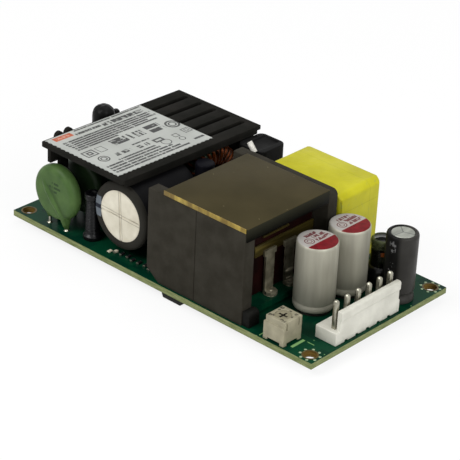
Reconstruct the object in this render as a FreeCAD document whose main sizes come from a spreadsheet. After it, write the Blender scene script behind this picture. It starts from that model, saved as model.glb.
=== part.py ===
import FreeCAD, Part
import math
import os
import Sketcher
from FreeCAD import Placement, Rotation, Vector

# Open frame power supply on a 4 x 2 inch board.
# X runs along the board towards the output header, Y across it, Z up.
# Z = 0 is the lowest point of the packages under the board.

# Driving dimensions in millimetres, heights above the board's top face.
SIZES = {
    # board
    "board_length": 101.6, "board_width": 50.8, "board_thick": 1.6, "under_gap": 2.2,
    "hole_dia": 3.3, "hole_inset": 2.8, "ring_width": 1.0, "ring_thick": 0.1,

    # disc varistor and disc capacitor at the input end
    "disc_radius": 7.5, "disc_thick": 4.4, "disc_round": 1.9, "disc_centre": 9.9,
    "disc_side_gap": 0.9, "disc_edge_inset": 2.5, "disc_lead_pitch": 6.2,
    "rear_disc_centre": 9.5, "rear_disc_shift": 0.9, "rear_disc_gap": 3.5,
    "lead_radius": 0.4, "leg_root_radius": 1.3, "leg_tip_radius": 0.65, "leg_sink": 1.2, "leg_clear": 0.9,
    # slim upright rod choke
    "rod_side_gap": 0.25, "rod_front_inset": 4.65, "rod_radius": 1.9, "rod_flange_radius": 2.15,
    "rod_foot_radius": 2.45,
    "rod_foot_height": 1.3, "rod_flange_height": 1.3, "rod_height": 12.8,
    # bulk capacitor lying along Y
    "bulk_side_inset": 3.45, "bulk_front_inset": 3.0, "bulk_radius": 9.1, "bulk_length": 20.0,
    "bulk_lift": 2.0,
    "bulk_rim": 2.35, "bulk_recess": 0.45, "bulk_edge_round": 0.8, "vent_thick": 0.3,
    "score_width": 0.35, "score_depth": 0.12, "bulk_lead_pitch": 7.5, "bulk_lead_reach": 1.4,
    # cover over the input end
    "cover_end_inset": 9.8, "cover_share": 0.28937, "cover_side_inset": 0.5, "cover_front_height": 23.0,
    "cover_fall": 1.0, "cover_plate": 1.2, "cover_wall": 1.2, "cover_overhang": 1.2, "cover_lip": 0.8,
    "cover_lip_depth": 0.9, "cover_corner": 0.8, "cover_skirt": 5.5, "cover_leg_gap": 0.35,
    "cover_skirt_end": 12.4,
    "slot_count": 5, "slot_pitch": 5.1, "slot_width": 1.5,
    "slot_length": 15.0, "slot_first": 4.5, "slot_rear_inset": 1.6, "tab_radius": 1.3, "tab_rise": 0.6,
    "tab_first": 6.6, "tab_pitch": 3.3,
    # label on the cover
    "label_rear_inset": 15.3, "label_right_inset": 2.7, "label_thick": 0.12, "label_left_inset": 0.5,
    "label_front_inset": 0.9, "tooth_pitch": 1.5, "tooth_depth": 0.3,
    # transformer
    "core_left": -3.0, "core_can_gap": 0.85, "core_height": 24.6, "core_leg": 3.4, "core_front_inset": 0.5,
    "core_gap": 1.1, "core_post_radius": 7.0, "core_cut_across": 4.0, "core_cut_up": 3.0,
    "seam_from_left": 15.7, "seam_width": 0.25, "seam_depth": 0.15, "core_corner": 1.6,
    "flange_thick": 1.9, "flange_left": 3.5, "flange_right": 0.6, "base_thick": 0.8, "base_inset": 1.6,
    "tube_wall": 1.0, "winding_left": 5.0, "winding_right": 4.4, "winding_gap": 0.3,
    "side_board_thick": 1.6, "side_board_left": 4.0, "side_board_right": 0.4, "side_board_gap": 0.25,
    "plate_left": 5.0, "plate_rear_inset": 3.65, "plate_thick": 1.2, "strip_thick": 0.2,
    "flap_height": 3.6, "flap_thick": 0.35,
    # copper foil terminal and its tinned legs
    "foil_thick": 0.5, "foil_height": 3.0, "foil_bottom": 13.4, "foil_front": 4.9, "foil_rear": 0.4,
    "tongue_height": 0.5, "tongue_gap": 1.4, "tongue_front": 7.7, "tongue_length": 9.2,
    "leg_thick": 0.6, "leg_width": 3.0, "leg_first": 8.4, "leg_pitch": 7.2, "leg_head_width": 4.2,
    "leg_head_height": 1.0, "fillet_radius": 1.7, "fillet_height": 1.0,
    # tape-wrapped choke
    "taped_left": 4.8, "taped_can_gap": 0.65, "taped_depth": 15.4, "taped_rear_inset": 0.6,
    "taped_height": 21.1, "taped_round": 1.0, "taped_bevel": 1.4, "taped_base": 1.2, "taped_base_inset": 0.8,
    # two output cans
    "can_radius": 5.15, "can_height": 17.8, "can_round": 0.5,
    "can_end_inset": 16.4, "can_near_y": -5.75, "can_pitch": 11.9, "seal_height": 0.8, "seal_radius": 4.6,
    # grey electrolytic
    "lytic_end_inset": 5.5, "lytic_y": 12.9, "lytic_radius": 4.0, "lytic_height": 18.1,
    "lytic_neck_radius": 3.5,
    "lytic_neck_height": 2.1, "lytic_foot_height": 0.8, "lytic_rim": 1.05, "lytic_recess": 0.5,
    "lytic_top_thick": 0.35,
    # small choke in a clear sleeve
    "filter_end_inset": 13.5, "filter_y": 15.9, "filter_radius": 3.0, "filter_height": 12.2,
    "filter_foot_radius": 3.9,
    "filter_foot_height": 5.0, "filter_sleeve": 0.25, "filter_round": 0.9,
    # output header
    "pin_pitch": 3.96, "pin_count": 6, "pin_width": 1.14, "pin_height": 11.0, "pin_bevel": 0.3,
    "header_end_inset": 0.9, "header_depth": 6.7, "header_base": 3.4, "header_y": -4.0,
    "header_end_wall": 1.9, "header_wall": 1.15, "header_wall_height": 8.7, "header_wall_inset": 1.3,
    "header_wall_short": 0.4, "header_lip": 0.35, "header_lip_height": 2.2, "header_pin_inset": 2.55,
    "notch_width": 1.0, "notch_height": 0.45,
    # input header
    "input_end_inset": 0.9, "input_rear_inset": 11.6, "input_count": 3,
    # trimmer
    "trimmer_end_inset": 12.2, "trimmer_edge_inset": 0.35, "trimmer_side": 6.4, "trimmer_height": 6.4,
    "trimmer_lid_height": 1.6, "trimmer_lid_inset": 0.35, "trimmer_foot_height": 0.7,
    "trimmer_foot_width": 1.3,
    "trimmer_slot_width": 0.45, "trimmer_slot_depth": 2.4,
    "rotor_radius": 2.0, "rotor_clearance": 0.06, "rotor_length": 3.0, "rotor_below_lid": 0.15,
    "rotor_slot_width": 0.55, "rotor_slot_length": 2.6, "rotor_slot_depth": 0.7,
    # parts behind and below the cover
    "fuse_end_inset": 5.8, "fuse_rear_inset": 24.5, "fuse_radius": 3.2, "fuse_height": 20.8, "fuse_dome": 3.1,
    "fuse_lead_radius": 1.1, "fuse_lead_gap": 0.2, "fuse_lead_height": 21.0,
    "film_side_gap": 0.45, "film_front_inset": 13.2, "film_wall_gap": 1.8, "film_depth": 8.6,
    "film_height": 20.0,
    "film_round": 0.8, "ring_section": 5.4, "wire_layer": 1.1, "ring_hole_share": 0.41,
    "boost_end_gap": 0.8, "boost_front_gap": 0.3, "boost_rear_gap": 2.8, "common_gap": 6.4,
    "common_front_gap": 3.75, "common_rear_gap": 0.75, "ring_lift": 0.2, "ring_head_gap": 0.6,
    "bridge_side_gap": 0.5, "bridge_wall_gap": 1.1, "bridge_depth": 3.2, "bridge_height": 14.0,
    "bridge_rear_inset": 3.3, "bridge_cut": 3.0,
    "standby_side_gap": 0.2, "standby_gap": 1.1, "standby_radius": 2.5, "standby_height": 20.4,
    "case_gap": 0.3, "case_length": 8.7, "case_depth": 9.4, "case_rear_inset": 0.5, "case_height": 20.2,
    "case_round": 1.8, "case_rim": 0.8, "case_recess": 0.5,
    "tail_x": -3.9, "tail_front_gap": 1.3, "tail_radius": 0.35, "tail_sleeve_radius": 0.75,
    "tail_sleeve_length": 3.0, "tail_slant": 42.0,
    # underside
    "diode_length": 6.8, "diode_width": 5.9, "diode_foot": 0.9, "diode_foot_width": 3.0, "diode_taper": 0.5,
    "diode_front_x": 5.0, "diode_front_inset": 1.2, "diode_end_inset": 13.0, "diode_side_inset": 8.5,
    "diode_rear_x": -2.0, "diode_rear_inset": 3.0,
    "chip_length": 2.0, "chip_width": 1.25, "chip_height": 0.6, "chip_row_count": 6, "chip_row_pitch": 3.6,
    "chip_row_x": -31.0, "chip_row_inset": 5.6, "chip_row_gap": 4.2,
    "chip_ic_length": 9.9, "chip_ic_width": 3.9, "chip_ic_height": 1.5, "chip_ic_x": 15.0,
    "chip_ic_inset": 6.3,
    "chip_ic_pitch": 1.27, "chip_ic_pins": 8, "chip_ic_pin_width": 0.4, "chip_ic_reach": 1.05,
    "joint_radius": 0.95, "joint_height": 1.1,
    "top_chip_length": 1.6, "top_chip_width": 0.8, "top_chip_height": 0.5, "top_chip_x": -17.3,
    "top_chip_inset": 2.9, "top_chip_pitch": 2.0, "top_chip_count": 7,
}

doc = FreeCAD.newDocument("OpenFrameSupply")
sheet = doc.addObject("Spreadsheet::Sheet", "dim")
for row, (word, number) in enumerate(SIZES.items(), start=1):
    sheet.set(f"A{row}", word)
    sheet.set(f"B{row}", str(number))
    sheet.setAlias(f"B{row}", word)
doc.recompute()

PIECES = []

# Expressions that several pieces share.
TOP = "(dim.under_gap + dim.board_thick)"
RIGHT = "(dim.board_length / 2)"
FRONT = "(-dim.board_width / 2)"
REAR = "(dim.board_width / 2)"
CORE_FRONT = f"({FRONT} + dim.core_front_inset)"
CORE_WINDOW = ("(dim.board_width - dim.core_front_inset - 2 * dim.core_leg - dim.core_gap - dim.taped_depth"
               " - dim.taped_rear_inset)")
CORE_REAR = f"({CORE_FRONT} + 2 * dim.core_leg + {CORE_WINDOW})"
CAN_X = f"({RIGHT} - dim.can_end_inset)"
FILTER_X = f"({RIGHT} - dim.filter_end_inset)"
TRIMMER_X = f"({RIGHT} - dim.trimmer_end_inset)"
CORE_RIGHT = f"({CAN_X} - dim.can_radius - dim.core_can_gap)"
CORE_WIDTH = f"({CORE_RIGHT} - dim.core_left)"
TAPED_WIDTH = f"({CAN_X} - dim.can_radius - dim.taped_can_gap - dim.taped_left)"
WINDING_RIGHT = f"({CORE_RIGHT} - dim.winding_right)"
CORE_TOP = f"({TOP} + dim.core_height)"
SIDE_BOARD_TOP = f"({TOP} + dim.base_thick + dim.side_board_thick)"
COVER_DEPTH = "(dim.board_width - 2 * dim.cover_side_inset)"
COVER_FRONT = f"(-{COVER_DEPTH} / 2)"
COVER_LENGTH = "(dim.board_length * dim.cover_share)"
COVER_LEFT = f"(-{RIGHT} + dim.cover_end_inset)"
COVER_INNER = f"({COVER_LEFT} + dim.cover_overhang + dim.cover_wall)"
COVER_RIGHT = f"({COVER_LEFT} + {COVER_LENGTH})"
BULK_X = f"({COVER_RIGHT} - dim.bulk_side_inset)"
FUSE_X = f"(-{RIGHT} + dim.fuse_end_inset)"
FUSE_Y = f"({REAR} - dim.fuse_rear_inset)"
ROD_X = f"({BULK_X} - dim.bulk_radius - dim.rod_radius - dim.rod_side_gap)"
DISC_X = f"({ROD_X} - dim.rod_radius - dim.disc_radius - dim.disc_side_gap)"
BOOST_X = f"({COVER_RIGHT} - dim.boost_end_gap - dim.ring_section / 2 - dim.wire_layer)"
BULK_REAR = f"({FRONT} + dim.bulk_front_inset + dim.bulk_length)"
RING_ROOM = ("((dim.cover_front_height - dim.cover_fall - dim.cover_plate - dim.ring_lift"
             " - dim.ring_head_gap) / 2)")


def size(text):
    """Value of an expression of the sheet."""
    return float(sheet.evalExpression(text))


def place(item, x="0", y="0", z="0"):
    """Bind the place of an item."""
    for axis, text in zip("xyz", (x, y, z)):
        item.setExpression("Placement.Base." + axis, text)
    return item


def keep(item, name):
    """Make an item a sub-part with a name of its own."""
    item.Label = name
    PIECES.append(item)
    return item


def solid(kind, name, x="0", y="0", z="0", turn=None, **sizes):
    """Part primitive whose sizes and place are bound."""
    item = doc.addObject("Part::" + kind, name)
    if turn:
        item.Placement = Placement(Vector(), Rotation(*turn))
    for prop, text in sizes.items():
        item.setExpression(prop, text)
    return place(item, x, y, z)


def block(name, x, y, z, length, width, height):
    """Box by its lowest corner."""
    return solid("Box", name, x, y, z, Length=length, Width=width, Height=height)


def rod(name, x, y, z, radius, height, turn=None):
    """Cylinder that starts at a point, upright unless it is turned."""
    return solid("Cylinder", name, x, y, z, turn, Radius=radius, Height=height)


def prism(name, x, y, z, radius, height, sides, turn=None):
    """Many-sided rod for small or hidden round things."""
    item = solid("Prism", name, x, y, z, turn, Circumradius=radius, Height=height)
    item.Polygon = sides
    return item


def wedge(name, x, y, z, foot, tip, height):
    """Four-sided leg, half as wide as foot at its lower end and as tip at its upper end."""
    return solid("Wedge", name, x, y, z, (Vector(1, 0, 0), 90),
                 Xmin=f"-{foot}", Xmax=foot, Zmin=f"-{foot}", Zmax=foot, Ymin="0", Ymax=height,
                 X2min=f"-{tip}", X2max=tip, Z2min=f"-{tip}", Z2max=tip)


def fuse(name, items):
    """Union of several items, or a group where they lie apart."""
    item = doc.addObject("Part::MultiFuse", name)
    item.Shapes = items
    return item


def cut(name, base, tool):
    """One item less another."""
    item = doc.addObject("Part::Cut", name)
    item.Base = base
    item.Tool = tool
    return item


def new_body(name, x="0", y="0", z=TOP, turn=None):
    """Empty body at a bound place."""
    body = doc.addObject("PartDesign::Body", name)
    if turn:
        body.Placement = Placement(Vector(), Rotation(*turn))
    return place(body, x, y, z)


def new_sketch(body, plane, offset="0"):
    """Empty sketch on one of the body's own planes."""
    sketch = body.newObject("Sketcher::SketchObject", f"{body.Name}_sketch{len(body.Group)}")
    origin = next(item for item in body.Origin.OriginFeatures if item.Role == plane)
    sketch.AttachmentSupport = (origin, [""])
    sketch.MapMode = "FlatFace"
    sketch.setExpression("AttachmentOffset.Base.z", offset)
    return sketch


def bind_point(sketch, geometry, point, x, y):
    """Tie a sketch point to two expressions."""
    for kind, axis, text in (("DistanceX", -2, x), ("DistanceY", -1, y)):
        if text == "0":
            sketch.addConstraint(Sketcher.Constraint("PointOnObject", geometry, point, axis))
            continue
        index = sketch.addConstraint(Sketcher.Constraint(kind, -1, 1, geometry, point, size(text)))
        sketch.setExpression(f"Constraints[{index}]", text)


def draw_outline(sketch, corners):
    """Closed straight-sided outline through bound corners."""
    points = [Vector(size(x), size(y), 0) for x, y in corners]
    first = sketch.GeometryCount
    count = len(points)
    for index, start in enumerate(points):
        sketch.addGeometry(Part.LineSegment(start, points[(index + 1) % count]), False)
    for index, (x, y) in enumerate(corners):
        after = first + (index + 1) % count
        sketch.addConstraint(Sketcher.Constraint("Coincident", first + index, 2, after, 1))
        bind_point(sketch, first + index, 1, x, y)
    return sketch


def draw_rectangle(sketch, left, low, width, height):
    """Rectangle by its lowest corner."""
    right, high = f"{left} + {width}", f"{low} + {height}"
    return draw_outline(sketch, [(left, low), (right, low), (right, high), (left, high)])


def draw_circle(sketch, x, y, radius):
    """Bound circle."""
    centre = Vector(size(x), size(y), 0)
    index = sketch.addGeometry(Part.Circle(centre, Vector(0, 0, 1), size(radius)), False)
    bind_point(sketch, index, 3, x, y)
    rule = sketch.addConstraint(Sketcher.Constraint("Radius", index, size(radius)))
    sketch.setExpression(f"Constraints[{rule}]", radius)
    return sketch


def draw_slot(sketch, x, low, high, radius):
    """Upright slot whose ends are rounded in four steps."""
    steps = [("-", 1, 0.8), ("-", 0.6, 0.2), ("+", 0, 0), ("+", 0.6, 0.2), ("+", 1, 0.8)]
    lower = [(f"{x} {sign} {radius} * {across}", f"{low} + {radius} * {up}") for sign, across, up in steps]
    upper = [(f"{x} {sign} {radius} * {across}", f"{high} - {radius} * {up}") for sign, across, up in steps]
    return draw_outline(sketch, lower + upper[::-1])


def draw_round(sketch, x, y, radius, sides):
    """Many-sided outline round a centre."""
    turns = [360 * number / sides for number in range(sides)]
    return draw_outline(sketch, [(f"{x} + {radius} * cos({turn} deg)", f"{y} + {radius} * sin({turn} deg)")
                                 for turn in turns])


def feature(body, kind, sketch, reverse=False, **sizes):
    """Sketch-based feature with bound sizes."""
    item = body.newObject("PartDesign::" + kind, f"{body.Name}_{kind}{len(body.Group)}")
    item.Profile = sketch
    item.Reversed = reverse
    for prop, text in sizes.items():
        item.setExpression(prop, text)
    return item


def pad(body, sketch, length, reverse=False):
    """Extrusion that adds."""
    return feature(body, "Pad", sketch, reverse, Length=length)


def pocket(body, sketch, length, reverse=False):
    """Extrusion that cuts, checked to remove material."""
    doc.recompute()
    before = body.Shape.Volume
    item = feature(body, "Pocket", sketch, reverse, Length=length)
    doc.recompute()
    if body.Shape.Volume >= before - 1e-6:
        raise ValueError(f"{item.Name} cuts nothing")
    return item


def repeat(body, original, axis, length, count):
    """Straight row of a feature."""
    row = body.newObject("PartDesign::LinearPattern", f"{body.Name}_row{len(body.Group)}")
    row.Originals = [original]
    row.Direction = axis
    row.setExpression("Length", length)
    row.setExpression("Occurrences", count)
    body.Tip = row
    return row


def smooth(body, pick, radius, kind="Fillet"):
    """Fillet or chamfer of the edges that a test picks, in the body's own frame."""
    doc.recompute()
    base = body.Tip
    names = [f"Edge{number}" for number, edge in enumerate(base.Shape.Edges, start=1) if pick(edge)]
    item = body.newObject("PartDesign::" + kind, f"{body.Name}_{kind}{len(body.Group)}")
    item.Base = (base, names)
    item.setExpression("Radius" if kind == "Fillet" else "Size", radius)
    return item


def runs_along(edge, axis):
    """True for a straight edge along an axis."""
    return isinstance(edge.Curve, Part.Line) and abs(getattr(edge.Curve.Direction, axis)) > 0.99


def is_upright(edge):
    """True for a straight edge along Z."""
    return runs_along(edge, "z")


def is_beyond(edge, point, axes):
    """True where the edge's middle lies beyond a point on every named axis."""
    return all(getattr(edge.CenterOfMass, axis) > getattr(point, axis) for axis in axes)


def spin_body(name, profile, x, y, z=TOP, turn=None):
    """Turned piece: a profile of radius and height, spun about the upright axis."""
    body = new_body(name, x, y, z, turn)
    sketch = draw_outline(new_sketch(body, "XZ_Plane"), profile)
    item = body.newObject("PartDesign::Revolution", name + "_spin")
    item.Profile = sketch
    item.ReferenceAxis = (sketch, ["V_Axis"])
    item.Angle = 360
    return body


def board():
    """Circuit board with a mounting hole in each corner."""
    body = new_body("circuit_board", z="dim.under_gap")
    sketch = draw_rectangle(new_sketch(body, "XY_Plane"), f"-{RIGHT}", FRONT, "dim.board_length",
                            "dim.board_width")
    pad(body, sketch, "dim.board_thick")
    holes = new_sketch(body, "XY_Plane")
    for x, y in hole_places():
        draw_circle(holes, x, y, "dim.hole_dia / 2")
    pocket(body, holes, "dim.board_thick", reverse=True)
    keep(body, "circuit_board")


def hole_places():
    """Centres of the four mounting holes."""
    across = f"({RIGHT} - dim.hole_inset)"
    along = f"({REAR} - dim.hole_inset)"
    return [(sign_x + across, sign_y + along) for sign_x in ("", "-") for sign_y in ("", "-")]


def hole_rings():
    """Plated ring round each mounting hole."""
    items = []
    for number, (x, y) in enumerate(hole_places()):
        name = f"hole_ring{number}"
        outer = prism(name + "_outer", x, y, TOP, "dim.hole_dia / 2 + dim.ring_width", "dim.ring_thick", 12)
        inner = prism(name + "_inner", x, y, TOP, "dim.hole_dia / 2 / cos(15 deg)", "dim.ring_thick", 12)
        items.append(cut(name, outer, inner))
    keep(fuse("mounting_pads", items), "mounting_pads")


def disc_part(name, x, y, centre, lead_name):
    """Dipped disc on edge: a rounded disc, two coated legs and the tinned leads below them."""
    pitch, radius, rounding = "dim.disc_lead_pitch", "dim.disc_radius", "dim.disc_round"
    lie_down = (Vector(1, 0, 0), 90)
    disc = new_body(name + "_disc", x, f"{y} + dim.disc_thick / 2", f"{TOP} + {centre}", lie_down)
    pad(disc, draw_round(new_sketch(disc, "XY_Plane"), "0", "0", radius, 48), "dim.disc_thick")
    half = size("dim.disc_thick") / 2
    smooth(disc, lambda edge: abs(edge.CenterOfMass.z - half) > half * 0.99, rounding, "Chamfer")
    legs, leads = [], []
    for side, clear in (("-", "dim.leg_clear * 2"), ("+", "dim.leg_clear / 3")):
        leg_x = f"{x} {side} {pitch} / 2"
        drop = f"({centre} - sqrt({radius} ^ 2 - ({pitch} / 2) ^ 2))"
        mark = "left" if side == "-" else "right"
        legs.append(wedge(f"{name}_{mark}_leg", leg_x, y, f"{TOP} + {clear}", "dim.leg_tip_radius",
                          "dim.leg_root_radius", f"{drop} + dim.leg_sink - {clear}"))
        leads.append(prism(f"{name}_{mark}_lead", leg_x, y, TOP, "dim.lead_radius", clear, 8))
    keep(fuse(name, [disc] + legs), name)
    keep(fuse(lead_name, leads), lead_name)


def discs():
    """Varistor at the front corner and a disc capacitor of the same size behind it."""
    y = f"{FRONT} + dim.disc_edge_inset"
    disc_part("disc_varistor", DISC_X, y, "dim.disc_centre", "varistor_leads")
    disc_part("disc_capacitor", f"{DISC_X} + dim.rear_disc_shift",
              f"{y} + dim.disc_thick + dim.rear_disc_gap", "dim.rear_disc_centre", "disc_capacitor_leads")


def rod_choke():
    """Slim upright choke with a flange at each end, in a shrunk black sleeve."""
    neck = "dim.rod_foot_height + dim.rod_radius / 4"
    shoulder = "dim.rod_height - dim.rod_flange_height"
    profile = [("0", "0"), ("dim.rod_foot_radius", "0"), ("dim.rod_foot_radius", "dim.rod_foot_height"),
               ("dim.rod_radius", neck), ("dim.rod_radius", f"{shoulder} - dim.rod_radius / 4"),
               ("dim.rod_flange_radius", shoulder), ("dim.rod_flange_radius", "dim.rod_height"),
               ("0", "dim.rod_height")]
    keep(spin_body("rod_choke", profile, ROD_X, f"{FRONT} + dim.rod_front_inset"), "rod_choke")


def bulk_capacitor():
    """Large electrolytic on its side, its scored vent face towards the front edge."""
    face = f"({FRONT} + dim.bulk_front_inset)"
    centre = f"({TOP} + dim.bulk_lift + dim.bulk_radius)"
    lie_down = (Vector(1, 0, 0), 90)
    inner = "dim.bulk_radius - dim.bulk_rim"
    bevel = "dim.bulk_edge_round"
    floor = "dim.bulk_length - dim.bulk_recess"
    profile = [("0", "0"), ("dim.bulk_radius", "0"), ("dim.bulk_radius", f"dim.bulk_length - {bevel}"),
               (f"dim.bulk_radius - {bevel}", "dim.bulk_length"), (inner, "dim.bulk_length"),
               (inner, floor), ("0", floor)]
    keep(spin_body("bulk_capacitor", profile, BULK_X, BULK_REAR, centre, lie_down), "bulk_capacitor")

    vent = new_body("bulk_capacitor_vent", BULK_X, f"{face} + dim.bulk_recess", centre, lie_down)
    pad(vent, draw_circle(new_sketch(vent, "XY_Plane"), "0", "0", inner), "dim.vent_thick")
    score_start = "dim.vent_thick - dim.score_depth"
    for angle in (4, 94):
        groove = new_sketch(vent, "XY_Plane", score_start)
        groove.AttachmentOffset = Placement(Vector(0, 0, size(score_start)), Rotation(Vector(0, 0, 1), angle))
        groove.setExpression("AttachmentOffset.Base.z", score_start)
        draw_rectangle(groove, "-dim.score_width / 2", f"-({inner})", "dim.score_width", f"2 * ({inner})")
        pocket(vent, groove, "dim.score_depth * 2", reverse=True)
    keep(vent, "bulk_capacitor_vent")

    leads = []
    for side in ("-", "+"):
        x = f"{BULK_X} {side} dim.bulk_lead_pitch / 2"
        corner = f"{BULK_REAR} + dim.bulk_lead_reach"
        name = "bulk_lead_" + ("left" if side == "-" else "right")
        leads.append(prism(name + "_run", x, BULK_REAR, centre, "dim.lead_radius",
                           "dim.bulk_lead_reach + dim.lead_radius / 2", 8, (Vector(1, 0, 0), -90)))
        leads.append(prism(name + "_drop", x, corner, TOP, "dim.lead_radius",
                           "dim.bulk_lift + dim.bulk_radius + dim.lead_radius / 2", 8))
    keep(fuse("bulk_capacitor_leads", leads), "bulk_capacitor_leads")


def cover():
    """Moulded cover: a sloping slotted plate on an end wall and a rear wall, with a lip below its edge."""
    body = new_body("cover_moulding")
    rise = "dim.cover_front_height"
    drop = "dim.cover_front_height - dim.cover_fall"
    plate = new_sketch(body, "YZ_Plane", COVER_LEFT)
    draw_outline(plate, [(COVER_FRONT, f"{rise} - dim.cover_plate"), (COVER_FRONT, rise),
                         (f"-{COVER_FRONT}", drop), (f"-{COVER_FRONT}", f"{drop} - dim.cover_plate")])
    pad(body, plate, COVER_LENGTH)
    smooth(body, lambda edge: is_upright(edge) and edge.CenterOfMass.y < 0, "dim.cover_corner")

    near = f"({COVER_FRONT} + dim.cover_overhang)"
    far = f"(-{COVER_FRONT} - dim.cover_overhang)"
    slope_near = f"{rise} - dim.cover_plate / 2"
    slope_far = f"{drop} - dim.cover_plate / 2"
    step = f"{near} + dim.cover_skirt_end"
    leg_near = f"({FRONT} + dim.disc_edge_inset + dim.disc_thick / 2 + dim.cover_leg_gap)"
    leg_far = f"({leg_near} + dim.rear_disc_gap - 2 * dim.cover_leg_gap)"
    skirt = f"{rise} - dim.cover_skirt"
    wall = new_sketch(body, "YZ_Plane", f"{COVER_LEFT} + dim.cover_overhang")
    draw_outline(wall, [(near, skirt), (leg_near, skirt), (leg_near, "0"), (leg_far, "0"), (leg_far, skirt),
                        (step, skirt), (step, "0"), (far, "0"), (far, slope_far), (near, slope_near)])
    pad(body, wall, "dim.cover_wall")
    rear = new_sketch(body, "XY_Plane")
    draw_rectangle(rear, f"{COVER_LEFT} + dim.cover_overhang", f"{far} - dim.cover_wall",
                   f"{COVER_LENGTH} - 2 * dim.cover_overhang", "dim.cover_wall")
    pad(body, rear, slope_far)
    lip = new_sketch(body, "YZ_Plane", f"{COVER_RIGHT} - dim.cover_lip")
    draw_outline(lip, [(near, f"{rise} - dim.cover_plate - dim.cover_lip_depth"),
                       (far, f"{drop} - dim.cover_plate - dim.cover_lip_depth"), (far, slope_far),
                       (near, slope_near)])
    pad(body, lip, "dim.cover_lip")

    slot = new_sketch(body, "XY_Plane", "dim.cover_front_height")
    high = f"-{COVER_FRONT} - dim.slot_rear_inset"
    draw_slot(slot, f"{COVER_LEFT} + dim.slot_first", f"{high} - dim.slot_length", high,
              "(dim.slot_width / 2)")
    cutter = pocket(body, slot, "dim.cover_fall + dim.cover_plate * 1.5")
    repeat(body, cutter, (slot, ["H_Axis"]), "dim.slot_pitch * (dim.slot_count - 1)", "dim.slot_count")

    tabs = []
    for number in range(2):
        y = f"{COVER_FRONT} + dim.tab_first + {number} * dim.tab_pitch"
        z = f"{TOP} + dim.cover_front_height + dim.tab_rise - dim.tab_radius"
        tabs.append(rod(f"cover_tab{number}", COVER_LEFT, y, z, "dim.tab_radius",
                        "dim.tab_radius * 0.8", (Vector(0, 1, 0), -90)))
    keep(fuse("cover_with_tabs", [body] + tabs), "cover")


def label():
    """Thin label that lies on the sloping plate, with two serrated edges."""
    length = size(f"{COVER_DEPTH} - dim.label_front_inset - dim.label_rear_inset")
    width = size(f"{COVER_LENGTH} - dim.label_left_inset - dim.label_right_inset")
    depth = size("dim.tooth_depth")
    points = [Vector(0, length, 0), Vector(0, 0, 0)]
    for run, start, step, inward in (
        (width, Vector(0, 0, 0), Vector(1, 0, 0), Vector(0, 1, 0)),
        (length, Vector(width, 0, 0), Vector(0, 1, 0), Vector(-1, 0, 0)),
    ):
        teeth = max(1, round(run / size("dim.tooth_pitch")))
        for tooth in range(teeth):
            points.append(start + step * (run * (tooth + 0.5) / teeth) + inward * depth)
            if tooth < teeth - 1 or step.x:
                points.append(start + step * (run * (tooth + 1) / teeth))
    points.append(Vector(width, length, 0))
    sheet_face = Part.Face(Part.makePolygon(points + points[:1]))
    item = doc.addObject("Part::Feature", "cover_label")
    item.Shape = sheet_face.extrude(Vector(0, 0, size("dim.label_thick")))
    slope = math.degrees(math.atan2(size("dim.cover_fall"), size(COVER_DEPTH)))
    item.Placement = Placement(Vector(), Rotation(Vector(1, 0, 0), -slope))
    place(item, f"{COVER_LEFT} + dim.label_left_inset", f"{COVER_FRONT} + dim.label_front_inset",
          f"{TOP} + dim.cover_front_height - dim.cover_fall * dim.label_front_inset / {COVER_DEPTH}")
    keep(item, "cover_label")


def transformer():
    """Two core halves with a round centre post, a bobbin, its winding and the plate on top."""
    cores()
    bobbin()
    y = f"{CORE_FRONT} + dim.core_front_inset / 2"
    length = f"{CORE_REAR} - dim.plate_rear_inset - ({y})"
    plate = block("plate_sheet", "dim.core_left + dim.plate_left", y, CORE_TOP,
                  f"{CORE_WIDTH} - dim.plate_left", length, "dim.plate_thick")
    flap = block("plate_flap", CORE_RIGHT, y, f"{CORE_TOP} + dim.plate_thick - dim.flap_height",
                 "dim.flap_thick", length, "dim.flap_height")
    keep(fuse("top_plate", [plate, flap]), "top_plate")
    strip = block("plate_edge_strip", "dim.core_left + dim.plate_left", f"{y} - dim.strip_thick", CORE_TOP,
                  f"{CORE_WIDTH} - dim.plate_left", "dim.strip_thick", "dim.plate_thick")
    keep(strip, "plate_edge_strip")
    terminal()


def cores():
    """Front core half with cut lower corner and seam line; rear half with a rounded upper corner."""
    front = new_body("core_front", "dim.core_left", f"{CORE_FRONT} + dim.core_leg")
    face = new_sketch(front, "XZ_Plane")
    draw_outline(face, [("dim.core_cut_across", "0"), (CORE_WIDTH, "0"),
                        (CORE_WIDTH, "dim.core_height"), ("0", "dim.core_height"),
                        ("0", "dim.core_cut_up")])
    pad(front, face, "dim.core_leg")
    post = draw_round(new_sketch(front, "XZ_Plane"), f"{CORE_WIDTH} / 2", "dim.core_height / 2",
                      "dim.core_post_radius", 24)
    pad(front, post, f"{CORE_WINDOW} / 2", reverse=True)
    seam = new_sketch(front, "XZ_Plane", "dim.core_leg")
    draw_rectangle(seam, "dim.seam_from_left", "0", "dim.seam_width", "dim.core_height")
    pocket(front, seam, "dim.seam_depth")
    keep(front, "core_front")

    rear = new_body("core_rear", "dim.core_left", f"{CORE_REAR} - dim.core_leg")
    face = new_sketch(rear, "XZ_Plane")
    draw_rectangle(face, "0", "0", CORE_WIDTH, "dim.core_height")
    pad(rear, face, "dim.core_leg", reverse=True)
    middle = Vector(size(f"{CORE_WIDTH} / 2"), 0, size("dim.core_height / 2"))
    smooth(rear, lambda edge: runs_along(edge, "y") and is_beyond(edge, middle, "xz"), "dim.core_corner")
    post = draw_round(new_sketch(rear, "XZ_Plane"), f"{CORE_WIDTH} / 2", "dim.core_height / 2",
                      "dim.core_post_radius", 24)
    pad(rear, post, f"{CORE_WINDOW} / 2")
    keep(rear, "core_rear")


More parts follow.
